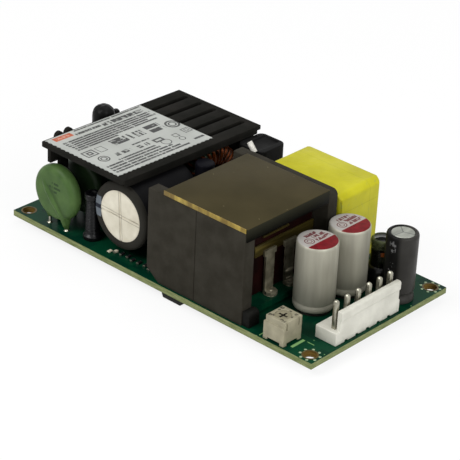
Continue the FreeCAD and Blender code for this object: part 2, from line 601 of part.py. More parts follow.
def bobbin():
    """Black bobbin round the post, the small green board on its foot and the winding."""
    near = f"({CORE_FRONT} + dim.core_leg)"
    left = "dim.core_left + dim.flange_left"
    length = f"{CORE_WIDTH} - dim.flange_left - dim.flange_right"
    upper = block("bobbin_upper", left, near, f"{CORE_TOP} - dim.flange_thick", length, CORE_WINDOW,
                  "dim.flange_thick")
    lower = block("bobbin_lower", f"{left} + dim.base_inset", f"{near} + dim.base_inset", TOP,
                  f"{length} - 2 * dim.base_inset", f"{CORE_WINDOW} - 2 * dim.base_inset", "dim.base_thick")
    middle_x = f"dim.core_left + {CORE_WIDTH} / 2"
    middle_z = f"{TOP} + dim.core_height / 2"
    along = (Vector(1, 0, 0), -90)
    outer = prism("bobbin_tube_outer", middle_x, near, middle_z, "dim.core_post_radius + dim.tube_wall",
                  CORE_WINDOW, 24, along)
    inner = prism("bobbin_tube_inner", middle_x, near, middle_z, "dim.core_post_radius",
                  CORE_WINDOW, 24, along)
    keep(cut("bobbin", fuse("bobbin_solid", [upper, lower, outer]), inner), "bobbin")

    side_board = block("terminal_board", "dim.core_left + dim.side_board_left",
                       f"{near} + dim.side_board_gap", f"{TOP} + dim.base_thick",
                       f"{CORE_WIDTH} - dim.side_board_left - dim.side_board_right",
                       f"{CORE_WINDOW} - 2 * dim.side_board_gap", "dim.side_board_thick")
    keep(side_board, "terminal_board")

    coil = block("winding_block", "dim.core_left + dim.winding_left", f"{near} + dim.winding_gap",
                 SIDE_BOARD_TOP, f"{CORE_WIDTH} - dim.winding_left - dim.winding_right",
                 f"{CORE_WINDOW} - 2 * dim.winding_gap",
                 f"{CORE_TOP} - dim.flange_thick - {SIDE_BOARD_TOP}")
    hole = prism("winding_hole", middle_x, near, middle_z, "dim.core_post_radius + dim.tube_wall",
                 CORE_WINDOW, 24, along)
    keep(cut("winding", coil, hole), "winding")


def terminal():
    """Copper foil terminal on the winding's output side, with two tinned legs to the board below it."""
    near = f"({CORE_FRONT} + dim.core_leg)"
    x = WINDING_RIGHT
    foil = block("foil_plate", x, f"{near} + dim.foil_front", f"{TOP} + dim.foil_bottom", "dim.foil_thick",
                 f"{CORE_WINDOW} - dim.foil_front - dim.foil_rear", "dim.foil_height")
    tongue = block("foil_tongue", x, f"{near} + dim.tongue_front",
                   f"{TOP} + dim.foil_bottom + dim.foil_height + dim.tongue_gap", "dim.foil_thick",
                   "dim.tongue_length", "dim.tongue_height")
    keep(fuse("foil_terminal", [foil, tongue]), "foil_terminal")

    legs = []
    for number in range(2):
        centre = f"({near} + dim.leg_first + dim.leg_width / 2 + {number} * dim.leg_pitch)"
        face = f"{x} + dim.foil_thick"
        name = f"terminal_leg{number}"
        legs.append(block(name + "_stem", face, f"{centre} - dim.leg_width / 2", SIDE_BOARD_TOP,
                          "dim.leg_thick", "dim.leg_width",
                          f"{TOP} + dim.foil_bottom + dim.leg_head_height - {SIDE_BOARD_TOP}"))
        legs.append(block(name + "_head", face, f"{centre} - dim.leg_head_width / 2",
                          f"{TOP} + dim.foil_bottom - dim.leg_head_height / 2", "dim.leg_thick",
                          "dim.leg_head_width", "dim.leg_head_height * 1.5"))
        legs.append(prism(name + "_solder", f"{face} - dim.foil_thick + dim.fillet_radius", centre,
                          SIDE_BOARD_TOP, "dim.fillet_radius", "dim.fillet_height", 8))
    keep(fuse("terminal_legs", legs), "terminal_legs")


def taped_choke():
    """Choke wrapped in yellow tape on a low black base."""
    y = f"({REAR} - dim.taped_rear_inset - dim.taped_depth)"
    inset = "dim.taped_base_inset"
    base = block("taped_choke_base", f"dim.taped_left + {inset}", f"{y} + {inset}", TOP,
                 f"{TAPED_WIDTH} - 2 * {inset}", f"dim.taped_depth - 2 * {inset}", "dim.taped_base")
    keep(base, "taped_choke_base")
    body = new_body("taped_choke", "dim.taped_left", y, f"{TOP} + dim.taped_base")
    face = new_sketch(body, "XZ_Plane", "-dim.taped_depth")
    draw_outline(face, [("0", "0"), (TAPED_WIDTH, "0"),
                        (TAPED_WIDTH, "dim.taped_height - dim.taped_bevel"),
                        (f"{TAPED_WIDTH} - dim.taped_bevel", "dim.taped_height"), ("0", "dim.taped_height")])
    pad(body, face, "dim.taped_depth")
    smooth(body, is_upright, "dim.taped_round")
    keep(body, "taped_choke")


def output_cans():
    """Two bare aluminium cans on black seals."""
    profile = [("0", "0"), ("dim.can_radius", "0"), ("dim.can_radius", "dim.can_height - dim.can_round"),
               ("dim.can_radius - dim.can_round", "dim.can_height"), ("0", "dim.can_height")]
    for number, side in enumerate(("near", "far")):
        y = f"dim.can_near_y + {number} * dim.can_pitch"
        seal = prism("can_seal_" + side, CAN_X, y, TOP, "dim.seal_radius", "dim.seal_height", 24)
        keep(seal, "can_seal_" + side)
        can = spin_body("output_can_" + side, profile, CAN_X, y, f"{TOP} + dim.seal_height")
        keep(can, "output_can_" + side)


def output_electrolytic():
    """Grey sleeved electrolytic with a rolled neck near its foot and an aluminium top."""
    radius, neck, high = "dim.lytic_radius", "dim.lytic_neck_height", "dim.lytic_height"
    inner = "dim.lytic_radius - dim.lytic_rim"
    profile = [("0", "0"), (radius, "0"), (radius, "dim.lytic_foot_height"),
               ("dim.lytic_neck_radius", neck), (radius, f"{neck} + dim.lytic_foot_height"),
               (radius, high), (inner, high), (inner, f"{high} - dim.lytic_recess"),
               ("0", f"{high} - dim.lytic_recess")]
    x = f"{RIGHT} - dim.lytic_end_inset"
    keep(spin_body("output_electrolytic", profile, x, "dim.lytic_y"), "output_electrolytic")
    top = prism("electrolytic_top", x, "dim.lytic_y", f"{TOP} + {high} - dim.lytic_recess", inner,
                "dim.lytic_top_thick", 32)
    keep(top, "electrolytic_top")


def filter_choke():
    """Small upright choke: a wide black foot, a slim core above it and a clear sleeve round the core."""
    core = "dim.filter_radius - dim.filter_sleeve"
    step = "dim.filter_foot_height"
    profile = [("0", "0"), ("dim.filter_foot_radius", "0"),
               ("dim.filter_foot_radius", f"{step} - dim.filter_round"), (core, step),
               (core, "dim.filter_height"), ("0", "dim.filter_height")]
    keep(spin_body("filter_choke", profile, FILTER_X, "dim.filter_y"), "filter_choke")
    sleeve_height = f"(dim.filter_height - {step} - dim.filter_round)"
    place_of_sleeve = (FILTER_X, "dim.filter_y", f"{TOP} + {step}")
    outer = prism("filter_sleeve_outer", *place_of_sleeve, "dim.filter_radius", sleeve_height, 24)
    inner = prism("filter_sleeve_inner", *place_of_sleeve, f"({core}) / cos(7.5 deg)", sleeve_height, 24)
    keep(cut("filter_choke_sleeve", outer, inner), "filter_choke_sleeve")


def header(name, pins_name, x, y, count, facing):
    """Right-angled header: a base, a lipped wall on its outer side and a row of square pins.

    x is the outer face of the wall, y the middle of the row; facing is 1 when the wall is on the +X side.
    """
    length = f"(({count} - 1) * dim.pin_pitch + 2 * dim.header_end_wall)"
    turn = None if facing > 0 else (Vector(0, 0, 1), 180)
    body = new_body(name, x, y, TOP, turn)
    base = new_sketch(body, "XY_Plane")
    draw_rectangle(base, "-dim.header_depth", f"-{length} / 2", "dim.header_depth - dim.header_lip", length)
    pad(body, base, "dim.header_base")
    wall = new_sketch(body, "XZ_Plane", f"{length} / 2 - dim.header_wall_inset")
    lip_low = "dim.header_wall_height - dim.header_lip_height"
    draw_outline(wall, [("-dim.header_lip - dim.header_wall", "0"), ("-dim.header_lip", "0"),
                        ("-dim.header_lip", f"{lip_low} - dim.header_lip"), ("0", lip_low),
                        ("0", "dim.header_wall_height - dim.header_lip"),
                        ("-dim.header_lip", "dim.header_wall_height"),
                        ("-dim.header_lip - dim.header_wall", "dim.header_wall_height")])
    pad(body, wall, f"{length} - dim.header_wall_inset - dim.header_wall_short", reverse=True)
    notch = new_sketch(body, "YZ_Plane")
    first = f"-{length} / 2 + dim.header_end_wall + dim.pin_pitch / 2 - dim.notch_width / 2"
    draw_rectangle(notch, first, "0", "dim.notch_width", "dim.notch_height")
    cutter = pocket(body, notch, "dim.header_lip + dim.header_wall / 2")
    if size(count) > 2:
        repeat(body, cutter, (notch, ["H_Axis"]), f"dim.pin_pitch * ({count} - 2)", f"{count} - 1")
    keep(body, name)

    side = "-" if facing > 0 else "+"
    centre = f"{x} {side} dim.header_pin_inset"
    pins = []
    for number in range(round(size(count))):
        if count == "dim.input_count" and number == 1:
            continue
        pin = new_body(f"{pins_name}{number}", f"{centre} - dim.pin_width / 2",
                       f"{y} + ({number} - ({count} - 1) / 2) * dim.pin_pitch - dim.pin_width / 2",
                       f"{TOP} + dim.header_base")
        square = draw_rectangle(new_sketch(pin, "XY_Plane"), "0", "0", "dim.pin_width", "dim.pin_width")
        pad(pin, square, "dim.pin_height - dim.header_base")
        tip = size("dim.pin_height - dim.header_base")
        smooth(pin, lambda edge: abs(edge.CenterOfMass.z - tip) < 0.01, "dim.pin_bevel", "Chamfer")
        pins.append(pin)
    keep(fuse(pins_name, pins), pins_name)


def trimmer():
    """Square trimmer with a stepped lid, snap slots and feet, and a rotor with a cross slot in its bore."""
    side = "dim.trimmer_side"
    near = f"({FRONT} + dim.trimmer_edge_inset)"
    body = new_body("trimmer_housing", f"{TRIMMER_X} - {side} / 2", near)
    pad(body, draw_rectangle(new_sketch(body, "XY_Plane"), "0", "0", side, side),
        "dim.trimmer_height - dim.trimmer_lid_height")
    lid = new_sketch(body, "XY_Plane", "dim.trimmer_height - dim.trimmer_lid_height")
    inset = "dim.trimmer_lid_inset"
    draw_rectangle(lid, inset, inset, f"{side} - {inset}", f"{side} - {inset}")
    pad(body, lid, "dim.trimmer_lid_height")
    gap = "dim.trimmer_side - 2 * dim.trimmer_foot_width"
    under = new_sketch(body, "XY_Plane")
    draw_rectangle(under, "dim.trimmer_foot_width", "-dim.trimmer_foot_width", gap,
                   f"{side} + 2 * dim.trimmer_foot_width")
    pocket(body, under, "dim.trimmer_foot_height", reverse=True)
    across = new_sketch(body, "XY_Plane")
    draw_rectangle(across, "-dim.trimmer_foot_width", "dim.trimmer_foot_width",
                   f"{side} + 2 * dim.trimmer_foot_width", gap)
    pocket(body, across, "dim.trimmer_foot_height", reverse=True)
    slots = new_sketch(body, "YZ_Plane", side)
    low = "dim.trimmer_height - dim.trimmer_slot_depth"
    for start in ("dim.trimmer_foot_width * 0.7", f"{side} - dim.trimmer_foot_width"):
        draw_rectangle(slots, start, low, "dim.trimmer_slot_width", "dim.trimmer_slot_depth")
    pocket(body, slots, "dim.trimmer_slot_width")
    bore = new_sketch(body, "XY_Plane", "dim.trimmer_height")
    draw_circle(bore, f"{side} / 2", f"{side} / 2", "dim.rotor_radius + dim.rotor_clearance")
    pocket(body, bore, "dim.rotor_length + dim.rotor_below_lid + dim.rotor_clearance")
    keep(body, "trimmer_housing")

    foot = f"{TOP} + dim.trimmer_height - dim.rotor_below_lid - dim.rotor_length"
    rotor = new_body("trimmer_rotor", TRIMMER_X, f"{near} + {side} / 2", foot)
    pad(rotor, draw_circle(new_sketch(rotor, "XY_Plane"), "0", "0", "dim.rotor_radius"), "dim.rotor_length")
    for width, depth in (("dim.rotor_slot_width", "dim.rotor_slot_length"),
                         ("dim.rotor_slot_length", "dim.rotor_slot_width")):
        cross = new_sketch(rotor, "XY_Plane", "dim.rotor_length")
        draw_rectangle(cross, f"-{width} / 2", f"-{depth} / 2", width, depth)
        pocket(rotor, cross, "dim.rotor_slot_depth")
    keep(rotor, "trimmer_rotor")


def sleeved_fuse():
    """Upright fuse in a black sleeve with a domed top, and its sleeved return lead."""
    radius, high, dome = "dim.fuse_radius", "dim.fuse_height", "dim.fuse_dome"
    profile = [("0", "0"), (radius, "0"), (radius, high), (f"{radius} * 0.7", f"{high} + {dome} * 0.7"),
               ("0", f"{high} + {dome}")]
    keep(spin_body("sleeved_fuse", profile, FUSE_X, FUSE_Y), "sleeved_fuse")
    y = f"{FUSE_Y} + dim.fuse_radius + dim.fuse_lead_radius + dim.fuse_lead_gap"
    lead = prism("fuse_lead", FUSE_X, y, TOP, "dim.fuse_lead_radius", "dim.fuse_lead_height", 12)
    keep(lead, "fuse_lead")


def film_capacitor():
    """Boxed mains capacitor under the cover."""
    left = f"({COVER_INNER} + dim.film_wall_gap)"
    width = f"({BULK_X} - dim.bulk_radius - dim.film_side_gap - {left})"
    body = new_body("mains_capacitor", left, f"{FRONT} + dim.film_front_inset")
    pad(body, draw_rectangle(new_sketch(body, "XY_Plane"), "0", "0", width, "dim.film_depth"),
        "dim.film_height")
    smooth(body, is_upright, "dim.film_round", "Chamfer")
    keep(body, "mains_capacitor")


def ring_choke(name, x, front, rear):
    """Ring core standing on edge between two depths, its axis along X; the turns leave a gap at its foot."""
    radius = f"min((({rear}) - ({front})) / 2; {RING_ROOM})"
    y = f"{front} + {radius}"
    hole = f"({radius} * dim.ring_hole_share)"
    centre = f"{TOP} + {radius} + dim.ring_lift"
    left = f"{x} - dim.ring_section / 2"
    across = (Vector(0, 1, 0), 90)
    layer = "dim.wire_layer"
    def ring(part, start, outside, inside, length):
        outer = prism(f"{name}_{part}_outer", start, y, centre, outside, length, 20, across)
        inner = prism(f"{name}_{part}_bore", start, y, centre, inside, length, 20, across)
        return cut(f"{name}_{part}", outer, inner)

    section = (left, f"{radius} - {layer}", f"{hole} + {layer}", "dim.ring_section")
    keep(ring("core", *section), name + "_core")
    wrap = cut(name + "_turns_wrap",
               ring("turns_ring", f"{left} - {layer}", radius, hole, f"dim.ring_section + 2 * {layer}"),
               ring("turns_seat", *section))
    foot_gap = block(name + "_turns_gap", f"{left} - 2 * {layer}", f"{y} - {hole} * 0.6", TOP,
                     f"dim.ring_section + 4 * {layer}", f"{hole} * 1.2", f"{radius} - {hole} + 2 * {layer}")
    keep(cut(name + "_turns", wrap, foot_gap), name + "_turns")


def bridge():
    """Flat bridge rectifier on edge near the rear wall, one upper corner cut off."""
    left = f"({COVER_INNER} + dim.bridge_wall_gap)"
    width = f"({BOOST_X} - dim.ring_section / 2 - dim.wire_layer - dim.bridge_side_gap - {left})"
    body = new_body("bridge_rectifier", left, f"{REAR} - dim.bridge_rear_inset")
    face = new_sketch(body, "XZ_Plane")
    draw_outline(face, [("0", "0"), (width, "0"), (width, "dim.bridge_height"),
                        ("dim.bridge_cut", "dim.bridge_height"), ("0", "dim.bridge_height - dim.bridge_cut")])
    pad(body, face, "dim.bridge_depth")
    keep(body, "bridge_rectifier")


def standby_capacitor():
    """Slim dark sleeved capacitor beside the bulk capacitor."""
    item = prism("standby_capacitor", f"{COVER_RIGHT} + dim.standby_side_gap + dim.standby_radius",
                 f"{BULK_REAR} + dim.standby_gap + dim.standby_radius", TOP, "dim.standby_radius",
                 "dim.standby_height", 24)
    keep(item, "standby_capacitor")


def rear_case():
    """Black potted choke case at the rear, with rounded corners and a rim, and one sleeved lead."""
    y = f"({REAR} - dim.case_rear_inset - dim.case_depth)"
    x = f"({COVER_RIGHT} + dim.case_gap)"
    body = new_body("rear_choke_case", x, y)
    pad(body, draw_rectangle(new_sketch(body, "XY_Plane"), "0", "0", "dim.case_length", "dim.case_depth"),
        "dim.case_height")
    smooth(body, is_upright, "dim.case_round")
    doc.recompute()
    recess = new_sketch(body, "XY_Plane", "dim.case_height")
    draw_rectangle(recess, "dim.case_round", "dim.case_rim", "dim.case_length - 2 * dim.case_round",
                   "dim.case_depth - 2 * dim.case_rim")
    pocket(body, recess, "dim.case_recess")
    keep(body, "rear_choke_case")

    tail_y = f"{y} - dim.tail_front_gap"
    lead = prism("case_lead", "dim.tail_x", tail_y, TOP, "dim.tail_radius", "dim.case_height", 8)
    keep(lead, "case_lead")
    sleeve = prism("lead_sleeve", "dim.tail_x", tail_y, f"{TOP} + dim.case_height + dim.tail_radius",
                   "dim.tail_sleeve_radius", "dim.tail_sleeve_length", 12,
                   (Vector(0, 1, 0), -size("dim.tail_slant")))
    keep(sleeve, "lead_sleeve")


def diode_under(name, x, y):
    """Tapered surface-mount package hanging under the board, with a foot at each end."""
    body = new_body(name, x, y, "0")
    face = new_sketch(body, "XZ_Plane", "-dim.diode_width / 2")
    half, taper, middle = "dim.diode_length / 2", "dim.diode_taper", "dim.under_gap / 2"
    draw_outline(face, [(f"-{half} + {taper}", "0"), (f"{half} - {taper}", "0"), (half, middle),
                        (f"{half} - {taper}", "dim.under_gap"), (f"-{half} + {taper}", "dim.under_gap"),
                        (f"-{half}", middle)])
    pad(body, face, "dim.diode_width")
    feet = new_sketch(body, "XY_Plane", "dim.under_gap")
    foot_y = "-dim.diode_foot_width / 2"
    draw_rectangle(feet, f"-{half} - dim.diode_foot", foot_y, "dim.diode_length + 2 * dim.diode_foot",
                   "dim.diode_foot_width")
    pad(body, feet, "dim.under_gap * 0.6", reverse=True)
    keep(body, name)


def underside():
    """Packages, chips and solder joints below the board."""
    end = f"{RIGHT} - dim.diode_end_inset"
    aside = f"{REAR} - dim.diode_side_inset"
    diode_under("front_diode", "dim.diode_front_x",
                f"{FRONT} + dim.diode_front_inset + dim.diode_width / 2")
    diode_under("output_diode", end, aside)
    diode_under("input_diode", f"-({end})", f"-({aside})")
    diode_under("rear_diode", "dim.diode_rear_x", f"{REAR} - dim.diode_rear_inset - dim.diode_width / 2")
    controller()
    chips_under()
    solder_joints()
    chips_on_top()


def controller():
    """Small outline controller chip with two rows of leads."""
    low = "(dim.under_gap - dim.chip_ic_height)"
    y = f"({CORE_REAR} - dim.chip_ic_inset)"
    items = [block("controller_body", "dim.chip_ic_x - dim.chip_ic_length / 2",
                   f"{y} - dim.chip_ic_width / 2", low, "dim.chip_ic_length", "dim.chip_ic_width",
                   "dim.chip_ic_height")]
    for number in range(round(size("dim.chip_ic_pins"))):
        shift = f"({number} - (dim.chip_ic_pins - 1) / 2) * dim.chip_ic_pitch"
        items.append(block(f"controller_pin{number}", f"dim.chip_ic_x + {shift} - dim.chip_ic_pin_width / 2",
                           f"{y} - dim.chip_ic_width / 2 - dim.chip_ic_reach",
                           "dim.under_gap - dim.chip_ic_height / 3", "dim.chip_ic_pin_width",
                           "dim.chip_ic_width + 2 * dim.chip_ic_reach", "dim.chip_ic_height / 3"))
    keep(fuse("controller_chip", items), "controller_chip")


def chips_under():
    """Two rows of chip resistors and capacitors under the board."""
    items = []
    for row in range(2):
        for number in range(round(size("dim.chip_row_count"))):
            items.append(block(f"under_chip{row}_{number}",
                               f"dim.chip_row_x + {number} * dim.chip_row_pitch",
                               f"{BULK_REAR} - dim.chip_row_inset + {row} * dim.chip_row_gap",
                               "dim.under_gap - dim.chip_height", "dim.chip_length", "dim.chip_width",
                               "dim.chip_height"))
    keep(fuse("chip_parts_under", items), "chip_parts_under")


def chips_on_top():
    """Row of small chips on the board in front of the bulk capacitor."""
    items = []
    for number in range(round(size("dim.top_chip_count"))):
        items.append(block(f"top_chip{number}", f"dim.top_chip_x + {number} * dim.top_chip_pitch",
                           f"{FRONT} + dim.top_chip_inset + {number % 3} * dim.top_chip_width / 3", TOP,
                           "dim.top_chip_width", "dim.top_chip_length", "dim.top_chip_height"))
    keep(fuse("chip_parts_top", items), "chip_parts_top")


def solder_joints():
    """Solder joints under the leads of the parts above."""
    pin_x = f"{RIGHT} - dim.header_end_inset - dim.header_pin_inset"
    places = [(pin_x, f"dim.header_y + ({number} - (dim.pin_count - 1) / 2) * dim.pin_pitch")
              for number in range(round(size("dim.pin_count")))]
    input_x = f"-{RIGHT} + dim.input_end_inset + dim.header_pin_inset"
    places += [(input_x, f"{REAR} - dim.input_rear_inset {side} dim.pin_pitch") for side in "-+"]
    for number in range(2):
        y = f"dim.can_near_y + {number} * dim.can_pitch"
        places += [(f"{CAN_X} {side} dim.can_radius / 2", y) for side in "-+"]
    disc_y = f"{FRONT} + dim.disc_edge_inset"
    places += [(f"{DISC_X} {side} dim.disc_lead_pitch / 2", disc_y) for side in "-+"]
    lead_y = f"{BULK_REAR} + dim.bulk_lead_reach"
    places += [(f"{BULK_X} {side} dim.bulk_lead_pitch / 2", lead_y) for side in "-+"]
    leg_y = f"{CORE_FRONT} + dim.core_leg + dim.leg_first + dim.leg_width / 2"
    leg_x = f"{WINDING_RIGHT} + dim.foil_thick + dim.leg_thick / 2"
    places += [(leg_x, f"{leg_y} + {number} * dim.leg_pitch") for number in range(2)]
    places += [(f"dim.core_left + {number + 1} * {CORE_WIDTH} / 7", f"{CORE_REAR} - dim.core_leg / 2")
               for number in range(6)]
    items = [prism(f"solder{number}", x, y, "dim.under_gap - dim.joint_height", "dim.joint_radius",
                   "dim.joint_height", 8) for number, (x, y) in enumerate(places)]
    keep(fuse("solder_joints", items), "solder_joints")


def export():
    """Check every object and every sub-part, then write one file per sub-part."""
    doc.recompute()
    for item in doc.Objects:
        if "Invalid" in item.State or "Error" in item.State:
            raise ValueError(f"{item.Name} failed: {item.State}")
    os.makedirs("parts", exist_ok=True)
    for item in PIECES:
        if item.Shape.isNull() or not item.Shape.isValid():
            raise ValueError(f"{item.Label} has no valid shape")
    for item in PIECES:
        item.Shape.exportStep(f"parts/{item.Label}.step")


def main():
    """Build the whole supply."""
    board()
    hole_rings()
    discs()
    rod_choke()
    bulk_capacitor()
    cover()
    label()
    transformer()
    taped_choke()
    output_cans()
    output_electrolytic()
    filter_choke()
    header("output_header", "output_pins", f"{RIGHT} - dim.header_end_inset + dim.header_lip",
           "dim.header_y", "dim.pin_count", 1)
    header("input_header", "input_pins", f"-{RIGHT} + dim.input_end_inset - dim.header_lip",
           f"({REAR} - dim.input_rear_inset)",
           "dim.input_count", -1)
    trimmer()
    sleeved_fuse()
    film_capacitor()
    ring_choke("boost_choke", BOOST_X,
               f"({BULK_REAR} + dim.bulk_lead_reach + dim.lead_radius + dim.boost_front_gap)",
               f"(-{COVER_FRONT} - dim.cover_overhang - dim.cover_wall - dim.boost_rear_gap)")
    ring_choke("common_choke", f"({BOOST_X} - dim.ring_section - 2 * dim.wire_layer - dim.common_gap)",
               f"({FRONT} + dim.film_front_inset + dim.film_depth + dim.common_front_gap)",
               f"({REAR} - dim.bridge_rear_inset - dim.bridge_depth - dim.common_rear_gap)")
    bridge()
    standby_capacitor()
    rear_case()
    underside()
    export()


main()
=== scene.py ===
import math

import bpy
from mathutils import Matrix, Vector


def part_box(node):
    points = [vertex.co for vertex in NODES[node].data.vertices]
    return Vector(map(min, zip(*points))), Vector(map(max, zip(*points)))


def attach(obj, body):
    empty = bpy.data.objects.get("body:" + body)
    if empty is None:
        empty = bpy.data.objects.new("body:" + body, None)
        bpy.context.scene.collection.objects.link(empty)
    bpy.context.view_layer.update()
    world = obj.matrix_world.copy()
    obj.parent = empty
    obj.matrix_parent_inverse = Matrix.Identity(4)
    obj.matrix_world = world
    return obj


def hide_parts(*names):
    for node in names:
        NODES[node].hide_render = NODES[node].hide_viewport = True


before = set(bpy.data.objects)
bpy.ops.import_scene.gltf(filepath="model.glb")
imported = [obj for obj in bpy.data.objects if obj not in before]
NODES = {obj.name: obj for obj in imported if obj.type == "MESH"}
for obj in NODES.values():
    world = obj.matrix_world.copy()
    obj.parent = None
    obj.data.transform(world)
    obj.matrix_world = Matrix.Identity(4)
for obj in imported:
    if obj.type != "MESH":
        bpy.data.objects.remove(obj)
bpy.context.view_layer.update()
MM = 0.001
BOARD_TOP = 3.8
BOARD_BOTTOM = 2.2


# Shader maths

class Wire:
    """Output of a shader node; arithmetic on it adds Math nodes."""

    def __init__(self, tree, socket=None):
        self.tree, self.socket = tree, socket

    def node(self, kind, settings=(), values=(), output=0):
        """Add a node: its settings first, then the values or links of its sockets."""
        item = self.tree.nodes.new("ShaderNode" + kind)
        for name, value in dict(settings).items():
            setattr(item, name, value)
        for key, value in dict(values).items():
            if isinstance(value, Wire):
                self.tree.links.new(value.socket, item.inputs[key])
            else:
                item.inputs[key].default_value = value
        return Wire(self.tree, item.outputs[output])

    def maths(self, operation, *values):
        return self.node("Math", {"operation": operation}, dict(enumerate(values)))

    def __add__(self, other):
        return self.maths("ADD", self, other)

    def __radd__(self, other):
        return self.maths("ADD", other, self)

    def __sub__(self, other):
        return self.maths("SUBTRACT", self, other)

    def __rsub__(self, other):
        return self.maths("SUBTRACT", other, self)

    def __mul__(self, other):
        return self.maths("MULTIPLY", self, other)

    def __gt__(self, other):
        return self.maths("GREATER_THAN", self, other)

    def __lt__(self, other):
        return self.maths("LESS_THAN", self, other)

    def __pow__(self, other):
        return self.maths("POWER", self, other)

    def __abs__(self):
        return self.maths("ABSOLUTE", self)

    def between(self, low, high):
        """One where the value lies between two limits, nought elsewhere."""
        return (self > low) * (self < high)

    def ramp(self, low, high):
        """Rise from nought to one between two values."""
        return self.node("MapRange", {}, {"Value": self, "From Min": low, "From Max": high})

    def blend(self, *colours):
        """First colour where the value is nought, second where it is one, as the eye sees them."""
        first, second = (part if isinstance(part, Wire) else seen(*part) for part in colours)
        return self.node("Mix", {"data_type": "RGBA"}, {0: self, 6: first, 7: second}, output=2)


def seen(red, green, blue):
    """Colour as the eye sees it, 0 to 1, as the shader needs it."""
    return tuple(part / 12.92 if part <= 0.04045 else ((part + 0.055) / 1.055) ** 2.4
                 for part in (red, green, blue)) + (1.0,)


def bars(across, along, table):
    """One inside bars, each by where it starts across, its two ends along and its width across."""
    ink = 0
    for start, low, high, width in table:
        ink = ink + across.between(start, start + width) * along.between(low, high)
    return ink


def rings(x, y, table):
    """One inside rings, each by its middle, its outer radius and the width of its line."""
    ink = 0
    for middle_x, middle_y, radius, width in table:
        over, along = x - middle_x, y - middle_y
        ink = ink + (over * over + along * along).between((radius - width) ** 2, radius ** 2)
    return ink


class Finish:
    """Material on Object coordinates, whose unvarying numbers are set on the shader itself."""

    def __init__(self, name, **numbers):
        self.material = bpy.data.materials.new(name)
        self.material.use_nodes = True
        tree = self.material.node_tree
        self.shader = tree.nodes["Principled BSDF"]
        for word, value in numbers.items():
            self.shader.inputs[word.replace("_", " ")].default_value = value
        self.place = Wire(tree).node("TexCoord", output="Object")
        self.x, self.y, self.z = (self.axis(name) * 1000 for name in "XYZ")

    def axis(self, name):
        return self.place.node("SeparateXYZ", {}, {0: self.place}, output=name)

    def noise(self, size, detail=3, stretch=None):
        """Soft random pattern whose patches are about a size in millimetres."""
        where = self.place
        if stretch:
            where = where.node("Mapping", {}, {"Vector": where, "Scale": stretch})
        return where.node("TexNoise", {}, {"Vector": where, "Scale": 1000 / size, "Detail": detail})

    def cells(self, size):
        """Distance to the nearest of scattered points about a size in millimetres apart."""
        return self.place.node("TexVoronoi", {}, {"Vector": self.place, "Scale": 1000 / size})

    def patches(self, size, dark, light, detail=3, stretch=None, low=0.3):
        """Two near colours in soft patches about a size in millimetres; a higher low sharpens them."""
        return self.noise(size, detail, stretch).ramp(low, 1 - low).blend(dark, light)

    def wear(self, colour, roughness, relief, depth, **others):
        """Link what varies over the surface; relief is nought to one, depth its millimetres."""
        bump = relief.node("Bump", {}, {"Height": relief, "Strength": 1.0, "Distance": depth * MM})
        links = {"Base Color": colour, "Roughness": roughness, "Normal": bump, **others}
        for name, wire in links.items():
            wire.tree.links.new(wire.socket, self.shader.inputs[name])
        return self.material


def mottled(name, dark, light, patch, gloss, grain, depth, **numbers):
    """Plain finish: two near colours in soft patches, uneven gloss and a fine relief."""
    finish = Finish(name, **numbers)
    colour = finish.patches(patch, dark, light, 4, low=0.35)
    low, high = gloss
    roughness = low + finish.noise(patch * 0.4, 3) * (high - low)
    return finish.wear(colour, roughness, relief=finish.noise(grain, 2), depth=depth)


# Finishes

